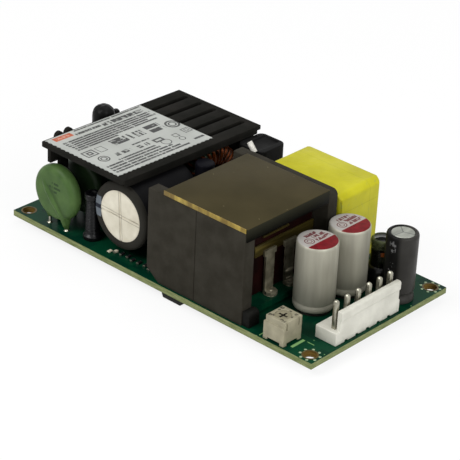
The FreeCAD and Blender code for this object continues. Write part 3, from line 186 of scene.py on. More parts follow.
FINISHES = {
    "black_plastic": mottled("satin_black_plastic", (0.10, 0.10, 0.09), (0.13, 0.125, 0.115), 6.0,
                             (0.45, 0.65), 0.25, 0.03, Specular_IOR_Level=0.01),
    "core_black": mottled("sintered_ferrite", (0.165, 0.155, 0.13), (0.20, 0.19, 0.165), 4.0,
                          (0.6, 0.8), 0.16, 0.05, Specular_IOR_Level=0.04),
    "bobbin_black": mottled("moulded_bobbin_black", (0.07, 0.07, 0.065), (0.10, 0.10, 0.09), 5.0,
                            (0.4, 0.6), 0.3, 0.02, Specular_IOR_Level=0.04),
    "case_black": mottled("potted_case_black", (0.06, 0.06, 0.06), (0.09, 0.09, 0.09), 4.0, (0.3, 0.5),
                          0.4, 0.02, Specular_IOR_Level=0.03),
    "dull_tin": mottled("soldered_leg", (0.40, 0.38, 0.31), (0.56, 0.54, 0.46), 2.5, (0.28, 0.45),
                        1.5, 0.01, Metallic=0.45),
    "tin": mottled("tinned_metal", (0.52, 0.51, 0.46), (0.66, 0.65, 0.59), 2.2, (0.22, 0.36), 1.2, 0.012,
                   Metallic=1.0),
    "red_tape": mottled("dark_red_winding_tape", (0.05, 0.012, 0.01), (0.11, 0.025, 0.02), 5.0,
                        (0.35, 0.55), 0.9, 0.05, Specular_IOR_Level=0.1),
    "copper": mottled("enamelled_copper", (0.12, 0.05, 0.015), (0.38, 0.18, 0.05), 1.5, (0.25, 0.4), 0.5,
                      0.02, Metallic=0.45, Specular_IOR_Level=0.1),
    "rubber": mottled("seal_rubber", (0.09, 0.085, 0.08), (0.14, 0.13, 0.12), 1.5, (0.6, 0.8), 0.2, 0.03,
                      Specular_IOR_Level=0.15),
    "package": mottled("chip_package_black", (0.10, 0.10, 0.10), (0.145, 0.14, 0.135), 1.5, (0.45, 0.6),
                       0.12, 0.015, Specular_IOR_Level=0.15),
    "teal": mottled("teal_capacitor_case", (0.02, 0.13, 0.10), (0.04, 0.18, 0.14), 5.0, (0.4, 0.6), 0.6,
                    0.02, Specular_IOR_Level=0.2),
    "white_sleeve": mottled("white_lead_sleeve", (0.74, 0.73, 0.70), (0.86, 0.85, 0.82), 1.0, (0.4, 0.6),
                            0.3, 0.03),
    "core_green": mottled("coated_ring_core", (0.10, 0.20, 0.14), (0.14, 0.27, 0.19), 3.0, (0.35, 0.5),
                          0.5, 0.03),
}


# Modelling by hand

def leave_alone():
    """Back to object mode with nothing selected."""
    if bpy.context.object and bpy.context.object.mode != "OBJECT":
        bpy.ops.object.mode_set(mode="OBJECT")
    bpy.ops.object.select_all(action="DESELECT")


def hold(piece):
    """Select one piece only and make it the active one."""
    leave_alone()
    piece.select_set(True)
    bpy.context.view_layer.objects.active = piece
    return piece


def settle(piece):
    """Put a piece's place, turn and size into its mesh."""
    hold(piece)
    bpy.ops.object.transform_apply(location=True, rotation=True, scale=True)
    return piece


def metres(point):
    return tuple(part * MM for part in point)


def box_piece(low, high):
    """Box between two corners in millimetres."""
    leave_alone()
    centre = metres((a + b) / 2 for a, b in zip(low, high))
    size = metres(b - a for a, b in zip(low, high))
    bpy.ops.mesh.primitive_cube_add(size=1, location=centre, scale=size)
    return settle(bpy.context.object)


def round_piece(centre, radius, height, sides=32, axis="Z", tip=None):
    """Cylinder, or a cone with a tip radius, by its middle in millimetres."""
    leave_alone()
    turn = {"Y": (math.pi / 2, 0, 0), "Z": (0, 0, 0)}[axis]
    bpy.ops.mesh.primitive_cone_add(vertices=sides, radius1=radius * MM,
                                    radius2=(radius if tip is None else tip) * MM, depth=height * MM,
                                    location=metres(centre), rotation=turn)
    return settle(bpy.context.object)


def ball_piece(centre, radius, sides=16, scale=(1, 1, 1)):
    """Ball or stretched ball by its middle in millimetres."""
    leave_alone()
    bpy.ops.mesh.primitive_uv_sphere_add(segments=sides, ring_count=sides // 2, radius=radius * MM,
                                         location=metres(centre), scale=scale)
    return settle(bpy.context.object)


def pick(piece, faces=None, edges=None):
    """Select the faces or edges that pass a test of their middle in millimetres and their direction."""
    hold(piece)
    bpy.ops.object.mode_set(mode="EDIT")
    bpy.ops.mesh.select_mode(type="FACE" if faces else "EDGE")
    bpy.ops.mesh.select_all(action="DESELECT")
    bpy.ops.object.mode_set(mode="OBJECT")
    mesh = piece.data
    if faces:
        for face in mesh.polygons:
            face.select = bool(faces(face.center / MM, face.normal))
    else:
        for edge in mesh.edges:
            start, end = (mesh.vertices[index].co / MM for index in edge.vertices)
            edge.select = bool(edges((start + end) / 2, (end - start).normalized()))
    bpy.ops.object.mode_set(mode="EDIT")


def bevel_picked(width, steps=3):
    """Bevel what is selected and leave edit mode."""
    bpy.ops.mesh.bevel(offset=width * MM, segments=steps, affect="EDGES")
    bpy.ops.object.mode_set(mode="OBJECT")


def modify(piece, kind, **settings):
    """Add a modifier and apply it."""
    hold(piece)
    item = piece.modifiers.new(kind.lower(), kind)
    for name, value in settings.items():
        setattr(item, name, value)
    bpy.ops.object.modifier_apply(modifier=item.name)
    return piece


def smooth(piece, angle=35):
    """Smooth shading up to an angle."""
    hold(piece)
    bpy.ops.object.shade_smooth_by_angle(angle=math.radians(angle))
    return piece


def turned(profile, centre, steps=48, axis="Z"):
    """Turn a profile of radius and height, in millimetres, about an axis through a centre."""
    leave_alone()
    bpy.ops.mesh.primitive_plane_add(size=MM)
    bpy.ops.object.mode_set(mode="EDIT")
    bpy.ops.mesh.select_mode(type="VERT")
    bpy.ops.mesh.merge(type="CENTER")
    first = Vector((profile[0][0], 0, profile[0][1]))
    bpy.ops.transform.translate(value=first * MM)
    for start, end in zip(profile, profile[1:]):
        step = Vector((end[0] - start[0], 0, end[1] - start[1])) * MM
        bpy.ops.mesh.extrude_region_move(TRANSFORM_OT_translate={"value": step})
    bpy.ops.mesh.select_all(action="SELECT")
    bpy.ops.mesh.spin(steps=steps, angle=2 * math.pi, center=(0, 0, 0), axis=(0, 0, 1))
    bpy.ops.mesh.select_all(action="SELECT")
    bpy.ops.mesh.remove_doubles(threshold=1e-6)
    bpy.ops.mesh.normals_make_consistent(inside=False)
    bpy.ops.object.mode_set(mode="OBJECT")
    piece = bpy.context.object
    piece.rotation_euler = {"Y": (math.pi / 2, 0, 0), "Z": (0, 0, 0)}[axis]
    piece.location = metres(centre)
    return smooth(settle(piece), 40)


def twin(piece, shift):
    """Copy of a piece with a mesh of its own, moved by a matrix."""
    copy = bpy.data.objects.new(piece.name, piece.data.copy())
    bpy.context.collection.objects.link(copy)
    copy.data.transform(shift)
    return copy


def repeat_at(piece, places):
    """Copies of a piece, moved by places in millimetres; the first one goes."""
    copies = [twin(piece, Matrix.Translation(Vector(metres(place)))) for place in places]
    bpy.data.objects.remove(piece)
    return copies


def join(pieces):
    """Join pieces into the first."""
    leave_alone()
    for piece in pieces:
        piece.select_set(True)
    bpy.context.view_layer.objects.active = pieces[0]
    if len(pieces) > 1:
        bpy.ops.object.join()
    return pieces[0]


def from_solid(node):
    """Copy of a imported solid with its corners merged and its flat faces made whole."""
    piece = bpy.data.objects.new(node, NODES[node].data.copy())
    bpy.context.collection.objects.link(piece)
    hold(piece)
    bpy.ops.object.mode_set(mode="EDIT")
    bpy.ops.mesh.select_all(action="SELECT")
    bpy.ops.mesh.remove_doubles(threshold=1e-6)
    bpy.ops.mesh.dissolve_limited(angle_limit=math.radians(1))
    bpy.ops.object.mode_set(mode="OBJECT")
    return piece


def finished(piece, name, finish, stands_for=(), body="supply"):
    """Name a piece, give it its finish and let it ride on its body."""
    settle(piece)
    piece.name = piece.data.name = name
    piece.data.materials.clear()
    material = FINISHES[finish] if isinstance(finish, str) else finish
    piece.data.materials.append(material)
    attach(piece, body)
    if stands_for:
        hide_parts(*stands_for)
    return piece


def softened(node, width, finish, steps=2, angle=40, body="supply"):
    """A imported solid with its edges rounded, in place of the sharp one."""
    piece = from_solid(node)
    modify(piece, "BEVEL", width=width * MM, segments=steps, limit_method="ANGLE",
           angle_limit=math.radians(angle), use_clamp_overlap=True)
    smooth(piece, 30)
    return finished(piece, node + "_rounded", finish, (node,), body)


def dress(node, finish):
    """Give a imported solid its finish."""
    NODES[node].data.materials.clear()
    NODES[node].data.materials.append(FINISHES[finish] if isinstance(finish, str) else finish)


# Circuit board

HOLE_X, HOLE_Y = 48.0, 22.6
SILK_BARS = [(34.0, -24.8, -20.0, 0.25), (42.4, -23.2, -18.7, 0.8), (43.9, -18.9, -18.7, 2.1)]


def off_hole(finish):
    """Squared distance from the axis of the nearest mounting hole."""
    over, along = abs(finish.x) - HOLE_X, abs(finish.y) - HOLE_Y
    return over * over + along * along


def board_finish():
    """Green mask with lighter copper areas below it, an olive cut edge, brown bores and printed bars."""
    finish = Finish("masked_board", Specular_IOR_Level=0.06)
    x, y, z = finish.x, finish.y, finish.z
    mask = finish.patches(9, (0.0, 0.15, 0.10), (0.015, 0.20, 0.135), 4, low=0.2)
    spot = x.node("CombineXYZ", {}, {0: x.maths("SNAP", x, 2.3), 1: y.maths("SNAP", y, 1.7)})
    pour = x.node("TexNoise", {}, {"Vector": spot, "Scale": 0.12, "Detail": 1.0}) > 0.515
    colour = (pour * 0.3).blend(mask, (0.04, 0.27, 0.16))
    vias = (finish.cells(2.6) < 0.07) * (x > 28)
    colour = (vias * 0.8).blend(colour, (0.45, 0.62, 0.40))
    colour = (bars(x, y, SILK_BARS) * (z > BOARD_TOP - 0.05)).blend(colour, (0.50, 0.66, 0.42))
    bore = off_hole(finish) < 1.8 ** 2
    edge = z.between(BOARD_BOTTOM + 0.04, BOARD_TOP - 0.04)
    grain = finish.noise(0.8, 4, (0.3, 0.3, 3.0)).ramp(0.3, 0.7)
    fibre = grain.blend((0.37, 0.41, 0.25), (0.53, 0.55, 0.39))
    fibre = bore.blend(fibre, grain.blend((0.32, 0.24, 0.09), (0.46, 0.37, 0.18)))
    colour = edge.blend(colour, fibre)
    roughness = 0.24 + finish.noise(3) * 0.14 + edge * 0.35
    relief = pour * 0.4 + finish.noise(0.5, 2) * 0.25
    return finish.wear(colour, roughness, relief=relief, depth=0.04)


dress("circuit_board", board_finish())


def pad_finish():
    """Olive rings; the dots round the holes of the output end are pale solder."""
    finish = Finish("plated_ring", Metallic=0.3, Specular_IOR_Level=0.3)
    dots = off_hole(finish) > 2.1 ** 2
    ring = finish.noise(0.8).blend((0.25, 0.20, 0.09), (0.38, 0.32, 0.16))
    tone = dots.blend(ring, finish.noise(0.5).blend((0.46, 0.54, 0.42), (0.62, 0.69, 0.56)))
    return finish.wear(tone, 0.35 + finish.noise(1) * 0.15, relief=finish.noise(0.3, 2), depth=0.01)


def mounting_rings():
    """Plated rings at the holes and eight solder dots round those at the output end."""
    rings, dots = [], []
    for x in (-HOLE_X, HOLE_X):
        for y in (-HOLE_Y, HOLE_Y):
            rings.append(turned([(1.65, 0), (2.05, 0), (2.05, 0.045), (1.65, 0.045), (1.65, 0)],
                                (x, y, BOARD_TOP), 32))
            for turn in range(8 if x > 0 else 0):
                angle = math.radians(45 * turn + 22.5)
                spot = (x + 2.4 * math.cos(angle), y + 2.4 * math.sin(angle), BOARD_TOP)
                dots.append(ball_piece(spot, 0.38, 12, (1, 1, 0.3)))
    finished(smooth(join(rings + dots)), "hole_rings_and_dots", pad_finish(), ("mounting_pads",))


mounting_rings()


# Discs at the input corner

DISC_ROWS = [(16.4, -37.2, -34.6, 0.62), (15.25, -38.0, -33.9, 0.62), (14.1, -37.4, -35.2, 0.62)]


def disc_finish(name, printed):
    """Green dipped epoxy; the front disc also has faint printed dashes and painted shade along the fold of
    its lead, and the plain rear disc's colours are darkened with painted shade.
    """
    finish = Finish(name, Specular_IOR_Level=0.12)
    x, z = finish.x, finish.z
    # The plain rear disc gets darker colours as painted shade under the cover.
    dark, light = ((0.225, 0.32, 0.165), (0.30, 0.40, 0.215)) if printed \
        else ((0.08, 0.13, 0.07), (0.11, 0.17, 0.09))
    tone = finish.patches(5, dark, light, 4)
    if printed:
        marks = bars(z, x, DISC_ROWS) * (finish.noise(0.75, 1, (1, 0.01, 0.01)) > 0.47)
        tone = (marks * 0.8).blend(tone, (0.13, 0.20, 0.11))
        # Painted shade on the lower side of the fold where the lead runs under the coating.
        beyond = (x + 39.8) * 0.763 + (z - 15.7) * 0.647
        fold_shade = beyond.ramp(0.35, 0.9) - beyond.ramp(0.9, 2.2)
        fold_shade = fold_shade * z.between(8.3, 15.6) * (finish.y < -24.0)
        tone = (fold_shade * 0.55).blend(tone, (0.13, 0.20, 0.10))
    relief = finish.noise(1.6, 3) * 0.7 + finish.noise(0.3, 2) * 0.15
    return finish.wear(tone, 0.34 + finish.noise(2.5) * 0.16, relief=relief, depth=0.08)


def dipped_disc(node, leads, x, y, rise, ridge, finish):
    """Disc, coated legs and the ridge of the lead below the coating, fused into one soft skin."""
    z = BOARD_TOP + rise
    half, spread = 1.9, 3.1
    disc = round_piece((x, y, z), 7.5, half * 2, 64, "Y")
    pick(disc, edges=lambda middle, way: abs(abs(middle.y - y) - half) < 0.01)
    bevel_picked(1.7, 6)
    parts = [disc]
    for side, clear in ((-1, 1.8), (1, 0.3)):
        high = z - 6.2
        parts.append(round_piece((x + side * spread, y, (BOARD_TOP + clear + high) / 2), 0.55,
                                 high - BOARD_TOP - clear, 20, "Z", 1.2))
    for start, end in zip(ridge, ridge[1:]):
        for step in range(6):
            dx, dy, dz, radius = (a + (b - a) * step / 6 for a, b in zip(start, end))
            parts.append(ball_piece((x + dx, y + dy, z + dz), radius, 12))
    skin = join(parts)
    modify(skin, "REMESH", mode="VOXEL", voxel_size=0.2 * MM)
    modify(skin, "SMOOTH", factor=0.6, iterations=4)
    smooth(skin, 180)
    finished(skin, node + "_skin", finish, (node,))
    wires = []
    for side, clear in ((-1, 1.95), (1, 0.5)):
        wires.append(turned([(0, 0), (0.75, 0), (0.45, 0.3), (0.4, 0.5), (0.4, clear), (0, clear)],
                            (x + side * spread, y, BOARD_TOP), 16))
    finished(join(wires), leads + "_wires", "tin", (leads,))


# Ridges: points by their place from the disc's middle and their radius.
FRONT_RIDGE = [(-3.4, -1.7, 2.2, 0.45), (-2.1, -1.65, 0.1, 0.75), (-0.2, -1.6, -2.1, 0.88),
               (1.8, -1.55, -3.9, 0.9), (2.9, -1.3, -5.4, 0.9), (3.1, -0.6, -8.0, 0.75),
               (3.1, 0, -9.2, 0.6)]
REAR_RIDGE = [(0, -1.6, 0.5, 0.5), (1.9, -1.6, -4.6, 0.8), (3.0, -0.6, -7.6, 0.7)]


dipped_disc("disc_varistor", "varistor_leads", -36.6, -22.9, 9.9, FRONT_RIDGE,
            disc_finish("green_dip_printed", True))
dipped_disc("disc_capacitor", "disc_capacitor_leads", -35.7, -15.0, 9.5, REAR_RIDGE,
            disc_finish("green_dip_plain_painted_shade", False))


# Rod choke

def sleeve_finish(name, shade, gloss=0.3, sheen=0.06):
    """Shrunk plastic sleeve: nearly even colour, long soft ripples and a sheen."""
    finish = Finish(name, Specular_IOR_Level=sheen)
    tone = finish.patches(7, shade, [part * 1.35 + 0.01 for part in shade])
    relief = finish.noise(3, 2) * 0.6 + finish.noise(0.35, 2) * 0.1
    return finish.wear(tone, gloss + finish.noise(2.5) * 0.18, relief=relief, depth=0.08)


def rod_choke():
    """Slim choke whose turns show as rings through the shrunk sleeve."""
    profile = [(0, 0), (2.3, 0), (2.45, 0.2), (2.45, 1.1), (2.2, 1.35), (1.92, 1.75)]
    level, pitch = 1.95, 0.44
    while level < 10.9:
        profile += [(1.94, level), (1.80, level + pitch / 2)]
        level += pitch
    profile += [(1.95, 11.1), (2.15, 11.6), (2.15, 12.55), (1.95, 12.8), (1.1, 12.8), (1.0, 12.5),
                (0, 12.5)]
    sleeve = turned(profile, (-26.3, -20.75, BOARD_TOP), 40)
    modify(sleeve, "BEVEL", width=0.05 * MM, segments=1, limit_method="ANGLE")
    smooth(sleeve, 60)
    finish = sleeve_finish("shrunk_black_sleeve", (0.03, 0.03, 0.035), 0.2, 0.2)
    finished(sleeve, "rod_choke_sleeve", finish, ("rod_choke",))


rod_choke()


# Bulk capacitor

BULK_X, BULK_Z = -15.05, 14.9


def bulk_sleeve_finish():
    """Near-black sleeve, lighter at its front rim, with the pale band that wraps round its left side."""
    finish = Finish("bulk_capacitor_sleeve", Specular_IOR_Level=0.03)
    tone = finish.patches(8, (0.045, 0.045, 0.05), (0.075, 0.075, 0.08))
    rim = finish.noise(5).blend((0.13, 0.125, 0.115), (0.18, 0.175, 0.155))
    tone = (finish.y < -21.3).blend(tone, rim)
    band = (finish.x < -21.6) * finish.z.between(12.3, 17.9)
    tone = band.blend(tone, finish.noise(1.5).blend((0.33, 0.355, 0.38), (0.42, 0.445, 0.47)))
    tone = (band * finish.z.between(14.5, 15.6)).blend(tone, (0.15, 0.16, 0.19))
    relief = finish.noise(3, 2) * 0.5 + finish.noise(0.3, 2) * 0.1
    return finish.wear(tone, 0.34 + finish.noise(2.5) * 0.16, relief=relief, depth=0.08)


def vent_finish():
    """Cream vent face; painted shade darkens the grooves of its scored cross, and it is a little darker
    towards its rim.
    """
    finish = Finish("cream_vent", Specular_IOR_Level=0.3)
    across, up = finish.x - BULK_X, finish.z - BULK_Z
    shift = finish.noise(2.2, 2) * 0.16 - 0.08
    first = abs(across * 0.998 + up * 0.07 + shift)
    second = abs(up * 0.998 + across * 0.04 + shift)
    grooves = first.between(0.30, 0.48) + second.between(0.30, 0.48)
    tone = finish.patches(3, (0.78, 0.755, 0.68), (0.85, 0.83, 0.765), 4)
    # Painted shade in the grooves of the scored cross.
    tone = (grooves * 0.6).blend(tone, (0.52, 0.48, 0.42))
    reach = (across * across + up * up) ** 0.5
    tone = (reach.ramp(6.1, 6.75) * 0.35).blend(tone, (0.66, 0.62, 0.55))
    relief = 1 - grooves * 0.9 + finish.noise(0.4, 3) * 0.15
    return finish.wear(tone, 0.5 + finish.noise(1.5) * 0.2, relief=relief, depth=0.1)


def bulk_capacitor():
    """Sleeved can lying along Y; its front rim is rolled in over the vent face."""
    rim = [(0, 19.55), (6.7, 19.55), (6.75, 19.85), (6.95, 20.0), (8.15, 20.0), (8.6, 19.88), (8.92, 19.6),
           (9.05, 19.2), (9.1, 18.7), (9.1, 17.5), (9.02, 17.2), (9.02, 16.9), (9.1, 16.6)]
    profile = [(0, 0), (8.2, 0), (8.8, 0.2), (9.08, 0.8), (9.1, 3.0)] + rim[::-1]
    shell = turned(profile, (BULK_X, -2.4, BULK_Z), 72, "Y")
    finished(shell, "bulk_capacitor_sleeve", bulk_sleeve_finish(), ("bulk_capacitor",))
    dress("bulk_capacitor_vent", vent_finish())
    dress("bulk_capacitor_leads", "tin")


bulk_capacitor()


# Cover and its label

TEXT_ROWS = [(-40.2, -14.6, 8.8, 0.6), (-38.6, -15.6, -6.9, 1.0), (-36.4, -21.8, 8.6, 0.7),
             (-35.4, -21.8, 8.0, 0.7), (-34.4, -21.8, 8.8, 0.7), (-33.4, -21.8, 5.0, 0.7),
             (-32.4, -21.8, 7.4, 0.7), (-31.4, -21.8, -7.5, 0.7), (-21.0, -17.4, -4.6, 0.65),
             (-19.9, -22.6, -4.0, 0.7), (-18.7, -22.6, -1.0, 0.75), (-17.5, -22.8, 0.8, 0.7),
             (-16.4, -22.8, 3.0, 0.7), (-17.3, 5.4, 9.0, 0.8), (-24.9, -9.0, -3.0, 0.6)]
BOLD_ROWS = [(-38.7, -6.4, 8.2, 1.7), (-30.1, -12.2, -5.4, 3.1), (-29.9, -4.6, -1.0, 3.0),
             (-30.3, 0.2, 5.0, 1.8), (-27.9, 0.2, 5.0, 1.8), (-23.9, -16.2, -10.8, 1.5),
             (-23.4, -8.8, -5.0, 1.5)]
RINGS = [(-26.8, 7.7, 2.1, 0.6), (-26.8, 7.7, 1.2, 0.4), (-23.5, -19.8, 1.6, 0.36),
         (-23.5, -19.8, 0.95, 0.35), (-20.4, -1.0, 1.5, 0.26), (-19.2, 3.6, 0.95, 0.25)]
# Boxes: two ends each way and the width of the line.
BOXES = [(-29.4, -26.2, -22.4, -18.6, 0.4), (-28.6, -27.0, -21.4, -19.6, 0.5),
         (-29.3, -26.5, -17.8, -15.4, 0.2), (-23.2, -20.8, 6.6, 9.2, 0.26), (-22.6, -21.4, 7.3, 8.5, 0.2),
         (-23.4, -21.4, -3.4, -0.2, 0.6), (-22.4, -20.6, 2.6, 4.4, 0.26)]


def label_finish():
    """Pale printed label: rules, dashes, rings and boxes where print would be."""
    finish = Finish("printed_label", Specular_IOR_Level=0.3)
    x, y = finish.x, finish.y
    paper = finish.patches(9, (0.64, 0.65, 0.63), (0.70, 0.71, 0.69))
    words = finish.noise(0.5, 1, (0.05, 1, 0.01)) > 0.34
    strokes = finish.noise(0.35, 1, (1, 1, 0.01)) > 0.40
    letters = (finish.noise(0.8, 1, (1, 0.4, 0.01)) > 0.43) * 0.6 + 0.35
    letters = (finish.noise(0.9, 1, (0.05, 1, 0.01)) > 0.43) * letters
    shapes = rings(x, y, RINGS)
    for low_x, high_x, low_y, high_y, width in BOXES:
        outer = x.between(low_x, high_x) * y.between(low_y, high_y)
        inner = x.between(low_x + width, high_x - width) * y.between(low_y + width, high_y - width)
        shapes = shapes + (outer - inner)
    ink = bars(x, y, TEXT_ROWS) * words * (strokes * 0.35 + 0.6) + bars(x, y, BOLD_ROWS) * letters
    ink = ink + shapes * 0.9
    ink = ink.maths("MINIMUM", ink, 0.95)
    colour = ink.blend(paper, (0.08, 0.08, 0.08))
    block = x.between(-40.0, -38.1) * y.between(-22.2, -16.1)
    inset = x.between(-39.55, -38.55) * y.between(-21.3, -17.0) * (finish.noise(0.6, 1) > 0.5)
    orange = finish.noise(1.5).blend((0.60, 0.27, 0.16), (0.72, 0.36, 0.22))
    colour = block.blend(colour, orange)
    colour = (inset * 0.35).blend(colour, (0.86, 0.78, 0.72))
    return finish.wear(colour, 0.42 + finish.noise(2) * 0.14, relief=finish.noise(0.4, 2), depth=0.02)


softened("cover", 0.3, "black_plastic", 2)
dress("cover_label", label_finish())


# Transformer

def plate_finish():
    """Olive sheet on top of the core with a few bright specks; its side face is darkened towards the
    bottom with painted shade.
    """
    finish = Finish("olive_top_sheet", Specular_IOR_Level=0.012)
    tone = finish.patches(11, (0.225, 0.205, 0.14), (0.265, 0.24, 0.165))
    specks = (finish.cells(3.2) < 0.045) * finish.z.between(28.9, 30.0)
    tone = (specks * 0.5).blend(tone, (0.6, 0.56, 0.42))
    # Painted shade: the side face darkens towards the bottom.
    side = (finish.x > 28.25) * (finish.z < 29.45)
    fold_shade = finish.z.ramp(26.2, 29.2).blend((0.035, 0.035, 0.03), (0.155, 0.155, 0.12))
    tone = side.blend(tone, fold_shade)
    relief = finish.noise(0.35, 2) * 0.4 + finish.noise(6, 2) * 0.6
    return finish.wear(tone, 0.30 + finish.noise(5) * 0.12, relief=relief, depth=0.05)


def strip_finish():
    """Golden cut edge of the sheet, rubbed in places."""
    finish = Finish("golden_edge", Metallic=0.35, Specular_IOR_Level=0.5)
    rubbed = finish.noise(2.4, 4, (1, 1, 0.2)).ramp(0.4, 0.65)
    tone = rubbed.blend((0.42, 0.34, 0.10), (0.66, 0.57, 0.24))
    return finish.wear(tone, 0.3 + finish.noise(1) * 0.2, relief=finish.noise(0.5, 2), depth=0.03)


def foil_finish():
    """Dull golden foil with long rolling marks."""
    finish = Finish("brass_foil", Metallic=0.55, Specular_IOR_Level=0.3)
    marks = finish.noise(1.2, 4, (1, 0.06, 1)).ramp(0.35, 0.65)
    tone = marks.blend((0.20, 0.17, 0.06), (0.42, 0.37, 0.17))
    return finish.wear(tone, 0.26 + finish.noise(2) * 0.2, relief=marks, depth=0.03)


def transformer():
    """Core halves, bobbin and its foot, winding, sheet on top, foil terminal and its soldered legs."""
    softened("core_front", 0.3, "core_black")
    softened("core_rear", 0.3, "core_black")
    softened("bobbin", 0.25, "bobbin_black")
    softened("winding", 0.9, "red_tape", 4)
    softened("top_plate", 0.25, plate_finish())
    softened("plate_edge_strip", 0.06, strip_finish())
    softened("foil_terminal", 0.08, foil_finish())
    dress("terminal_board", NODES["circuit_board"].data.materials[0])
    softened("terminal_legs", 0.1, "dull_tin")
    lumps = []
    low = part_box("terminal_board")[1].z / MM
    for middle in (-11.6, -4.4):
        lumps.append(turned([(0, 0), (1.75, 0), (1.6, 0.18), (1.0, 0.55), (0.6, 1.2), (0, 1.3)],
                            (25.6, middle, low), 24))
    for level, width in ((9.7, 1.5), (7.6, 1.2), (6.2, 1.3)):
        lumps.append(ball_piece((24.9, -4.4, level), width * 0.75, 16, (0.75, 1.35, 0.55)))
    finished(join(lumps), "terminal_solder", "dull_tin")
    foot = box_piece((28.4, -24.6, BOARD_TOP), (30.6, -20.8, 7.7))
    pick(foot, edges=lambda middle, way: middle.x > 30.5 and middle.z > 7.6)
    bevel_picked(1.2, 4)
    modify(foot, "BEVEL", width=0.2 * MM, segments=2, limit_method="ANGLE")
    finished(smooth(foot), "bobbin_foot", "bobbin_black")


transformer()


# Yellow choke behind the transformer

def tape_finish():
    """Glossy yellow tape: overlapping edges, soft creases and small pale scuffs."""
    finish = Finish("yellow_polyester_tape", Specular_IOR_Level=0.1)
    tone = finish.patches(8, (0.66, 0.64, 0.10), (0.74, 0.72, 0.16))
    lap = abs(finish.z - 21.2 + finish.noise(7, 1) * 0.5).between(0, 0.09)
    lap = lap + abs(finish.y - 20.6).between(0, 0.08)
    tone = (lap * 0.3).blend(tone, (0.50, 0.50, 0.10))
    scuffs = finish.noise(1.3, 4, (1, 1, 0.6)).ramp(0.62, 0.72) * finish.x.ramp(26, 28.4)
    tone = (scuffs * 0.5).blend(tone, (0.60, 0.62, 0.30))
    creases = finish.noise(4, 2, (1, 1, 0.35)) * 0.8 + finish.noise(0.9, 2) * 0.12
    return finish.wear(tone, 0.24 + finish.noise(3) * 0.2, relief=creases, depth=0.25)


softened("taped_choke", 0.4, tape_finish(), 3)
softened("taped_choke_base", 0.2, "bobbin_black")


# Output cans

CAN_X = 34.4
CAN_ROWS = [(-3.3, -1.6, 2.4, 1.1), (-1.9, -0.4, 3.7, 1.1), (-0.5, -0.6, 4.0, 1.1)]
CAN_RINGS = [(-0.65, -2.3, 1.3, 0.25), (-0.65, -2.3, 0.7, 0.2)]


def can_finish(name, middle_y):
    """Satin can whose top carries a pale print with a dark red half-moon and small red dashes."""
    finish = Finish(name, Specular_IOR_Level=0.12)
    x, y = finish.x - CAN_X, finish.y - middle_y
    body = finish.patches(3, (0.57, 0.56, 0.51), (0.68, 0.67, 0.61), 4, (1, 1, 0.12))
    top = (finish.z > 22.28) * (x * x + y * y < 4.93 ** 2)
    pale = finish.noise(3).blend((0.59, 0.58, 0.56), (0.67, 0.655, 0.635))
    red = finish.patches(1.4, (0.35, 0.01, 0.04), (0.45, 0.03, 0.08))
    marks = bars(x, y, CAN_ROWS) * (finish.noise(0.6, 1, (0.4, 1, 0)) > 0.43) + rings(x, y, CAN_RINGS)
    printed = (marks * 0.9 * (x < 0.9)).blend(pale, (0.36, 0.10, 0.13))
    colour = top.blend(body, (x > 1.15).blend(printed, red))
    return finish.wear(colour, 0.36 + finish.noise(2) * 0.12 + top * 0.05, depth=0.03,
                       relief=finish.noise(0.8, 3, (1, 1, 0.2)), Metallic=(1 - top) * 0.25)


def output_can(side, middle_y):
    """Drawn can with a crimp above its foot and a softly rounded shoulder, on its seal."""
    profile = [(0, 0), (4.5, 0), (4.9, 0.12), (5.1, 0.4), (5.15, 0.8), (5.15, 1.5), (4.95, 1.85),
               (4.95, 2.0), (5.15, 2.35), (5.15, 16.9), (5.12, 17.3), (4.98, 17.62), (4.72, 17.78),
               (4.5, 17.8), (0, 17.8)]
    can = turned(profile, (CAN_X, middle_y, BOARD_TOP + 0.8), 64)
    finished(can, "can_" + side, can_finish("can_print_" + side, middle_y), ("output_can_" + side,))
    seal = turned([(0, 0), (4.3, 0), (4.6, 0.15), (4.6, 0.7), (4.5, 0.8), (0, 0.8)],
                  (CAN_X, middle_y, BOARD_TOP), 40)
    finished(seal, "seal_" + side, "rubber", ("can_seal_" + side,))


output_can("near", -5.75)
output_can("far", 6.15)


# Small electrolytic and filter choke

LYTIC_X, LYTIC_Y = 45.3, 12.9
CHOKE_X, CHOKE_Y = 37.3, 15.9


def electrolytic_sleeve():
    """Dark grey sleeve with a painted dark reflection that turns its left side near black, and worn pale
    marks.
    """
    finish = Finish("dark_grey_sleeve", Specular_IOR_Level=0.08)
    x, y, z = finish.x - LYTIC_X, finish.y - LYTIC_Y, finish.z
    tone = finish.patches(6, (0.165, 0.16, 0.15), (0.215, 0.21, 0.20))
    # Painted dark reflection: the left side of the sleeve is blended to near black.
    dark = 1 - (x + y * 0.6).ramp(-0.7, 0.5)
    tone = (dark * 0.92).blend(tone, (0.035, 0.035, 0.035))
    marks = (y < -2.5) * x.between(-0.7, 1.1) * (finish.noise(0.6, 2, (1, 0.1, 0.8)) > 0.57)
    marks = marks * (z.between(11.5, 15.0) + z.between(17.5, 20.8))
    tone = (marks * 0.4).blend(tone, (0.55, 0.55, 0.55))
    relief = finish.noise(2.5, 2) * 0.6 + finish.noise(0.3, 2) * 0.1
    return finish.wear(tone, 0.30 + finish.noise(2.5) * 0.15, relief=relief, depth=0.08)


